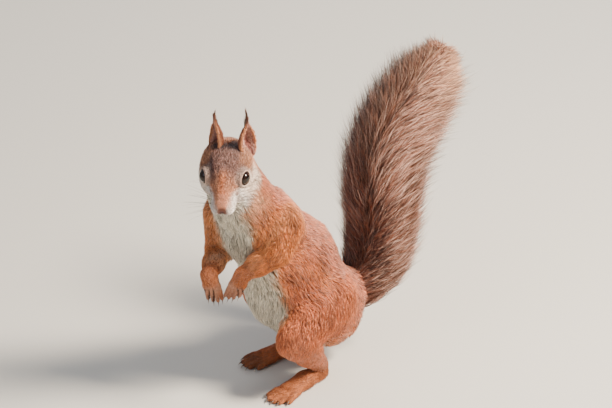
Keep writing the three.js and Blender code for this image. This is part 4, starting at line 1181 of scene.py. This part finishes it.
dice = np.random.default_rng(5)
hairs = []
for side, sign in SIDES.items():
    for row in range(4):
        for col in range(4):
            root = head_point((4.4 + 0.55 * col) * sign, 26.5 - 2.6 * col, -5.2 - 1.25 * row)
            way = LEFT * sign * 0.95 + FORE * (0.18 - 0.18 * col) + UP * (0.24 - 0.17 * row)
            hairs.append(whisker(root, way + dice.normal(0, 0.05, 3), dice.uniform(17, 24) + 1.2 * col,
                                 dice.uniform(0.5, 4), 0.10))
    for k in range(3):
        root = head_point(10.4 * sign, 11.5 - 2.2 * k, 9.0)
        way = LEFT * sign * 0.5 + FORE * 0.25 + UP * 0.7
        hairs.append(whisker(root, way + dice.normal(0, 0.12, 3), dice.uniform(10, 16), -1.0, 0.08))
    for k in range(2):
        root = head_point(13.5 * sign, 6 - 4 * k, -8)
        way = LEFT * sign * 0.9 - FORE * 0.3 - UP * 0.2
        hairs.append(whisker(root, way + dice.normal(0, 0.1, 3), dice.uniform(13, 18), 2.0, 0.08))
verts = np.concatenate(hairs)
faces = grid_faces(9, 5)[None] + np.arange(len(hairs))[:, None, None] * len(hairs[0])
whiskers = mesh_object("whiskers", verts, [faces.reshape(-1, 4)], np.zeros((len(verts), 3)), HAIR)

# ---------------------------------------------------------------- floor, light and camera
# A plain pale floor, a soft key from the viewer's upper right, a broad fill and a rim light
# from behind, and a long lens that looks down by 25 degrees.
AZ = np.radians(50)
EL = np.radians(25)
RIGHT = np.array([np.cos(AZ), np.sin(AZ), 0])
BACK = np.array([np.sin(AZ) * np.cos(EL), -np.cos(AZ) * np.cos(EL), np.sin(EL)])
TOP = np.cross(BACK, RIGHT)

plane = bpy.data.meshes.new("studio_floor")
plane.from_pydata([(-5, -5, 0), (5, -5, 0), (5, 5, 0), (-5, 5, 0)], [], [(0, 1, 2, 3)])
plane.materials.append(material("pale_studio_floor", 0.85, Base_Color=(*tone("c8c5be"), 1)))
floor = bpy.data.objects.new("studio_floor", plane)
bpy.context.scene.collection.objects.link(floor)


def lamp(name, way, distance, size, power, code):
    """A square soft light that far from the animal along way, facing it."""
    data = bpy.data.lights.new(name, "AREA")
    data.size = size
    data.energy = power
    data.color = tuple(tone(code))
    ob = bpy.data.objects.new(name, data)
    ob.location = Vector(unit(way) * distance) + Vector((0, 0, 0.09))
    ob.rotation_euler = Vector(unit(way)).to_track_quat("Z", "Y").to_euler()
    bpy.context.scene.collection.objects.link(ob)


lamp("key", RIGHT * 0.85 + UPRIGHT * 0.85 + BACK * 0.25, 1.3, 0.40, 70, "fff0dc")
lamp("fill", RIGHT * -0.7 + UPRIGHT * 0.45 + BACK * 0.9, 1.6, 1.2, 8, "eef4ff")
lamp("rim", RIGHT * 0.2 + UPRIGHT * 0.8 - BACK * 0.9, 1.5, 0.6, 8, "ffffff")
world = bpy.data.worlds.new("studio")
world.use_nodes = True
sky = world.node_tree.nodes["Background"]
sky.inputs["Color"].default_value = (0.93, 0.95, 1.0, 1)
sky.inputs["Strength"].default_value = 0.38
bpy.context.scene.world = world

# The point looked at, the camera's distance from it and the picture's width there, in mm.
LOOK_AT = RIGHT * (17.3 - SHIFT @ RIGHT) + TOP * (120.3 - SHIFT @ TOP) + BACK * 50
DISTANCE = 3500
VIEW_WIDTH = 428.4
lens = bpy.data.cameras.new("camera")
lens.sensor_width = 36.0
lens.lens = 36 * DISTANCE / VIEW_WIDTH
lens.clip_end = 20
camera = bpy.data.objects.new("camera", lens)
stand = (LOOK_AT + BACK * DISTANCE) * MM
camera.matrix_world = Matrix([[RIGHT[i], TOP[i], BACK[i], stand[i]] for i in range(3)] + [[0, 0, 0, 1]])
bpy.context.scene.collection.objects.link(camera)
bpy.context.scene.camera = camera
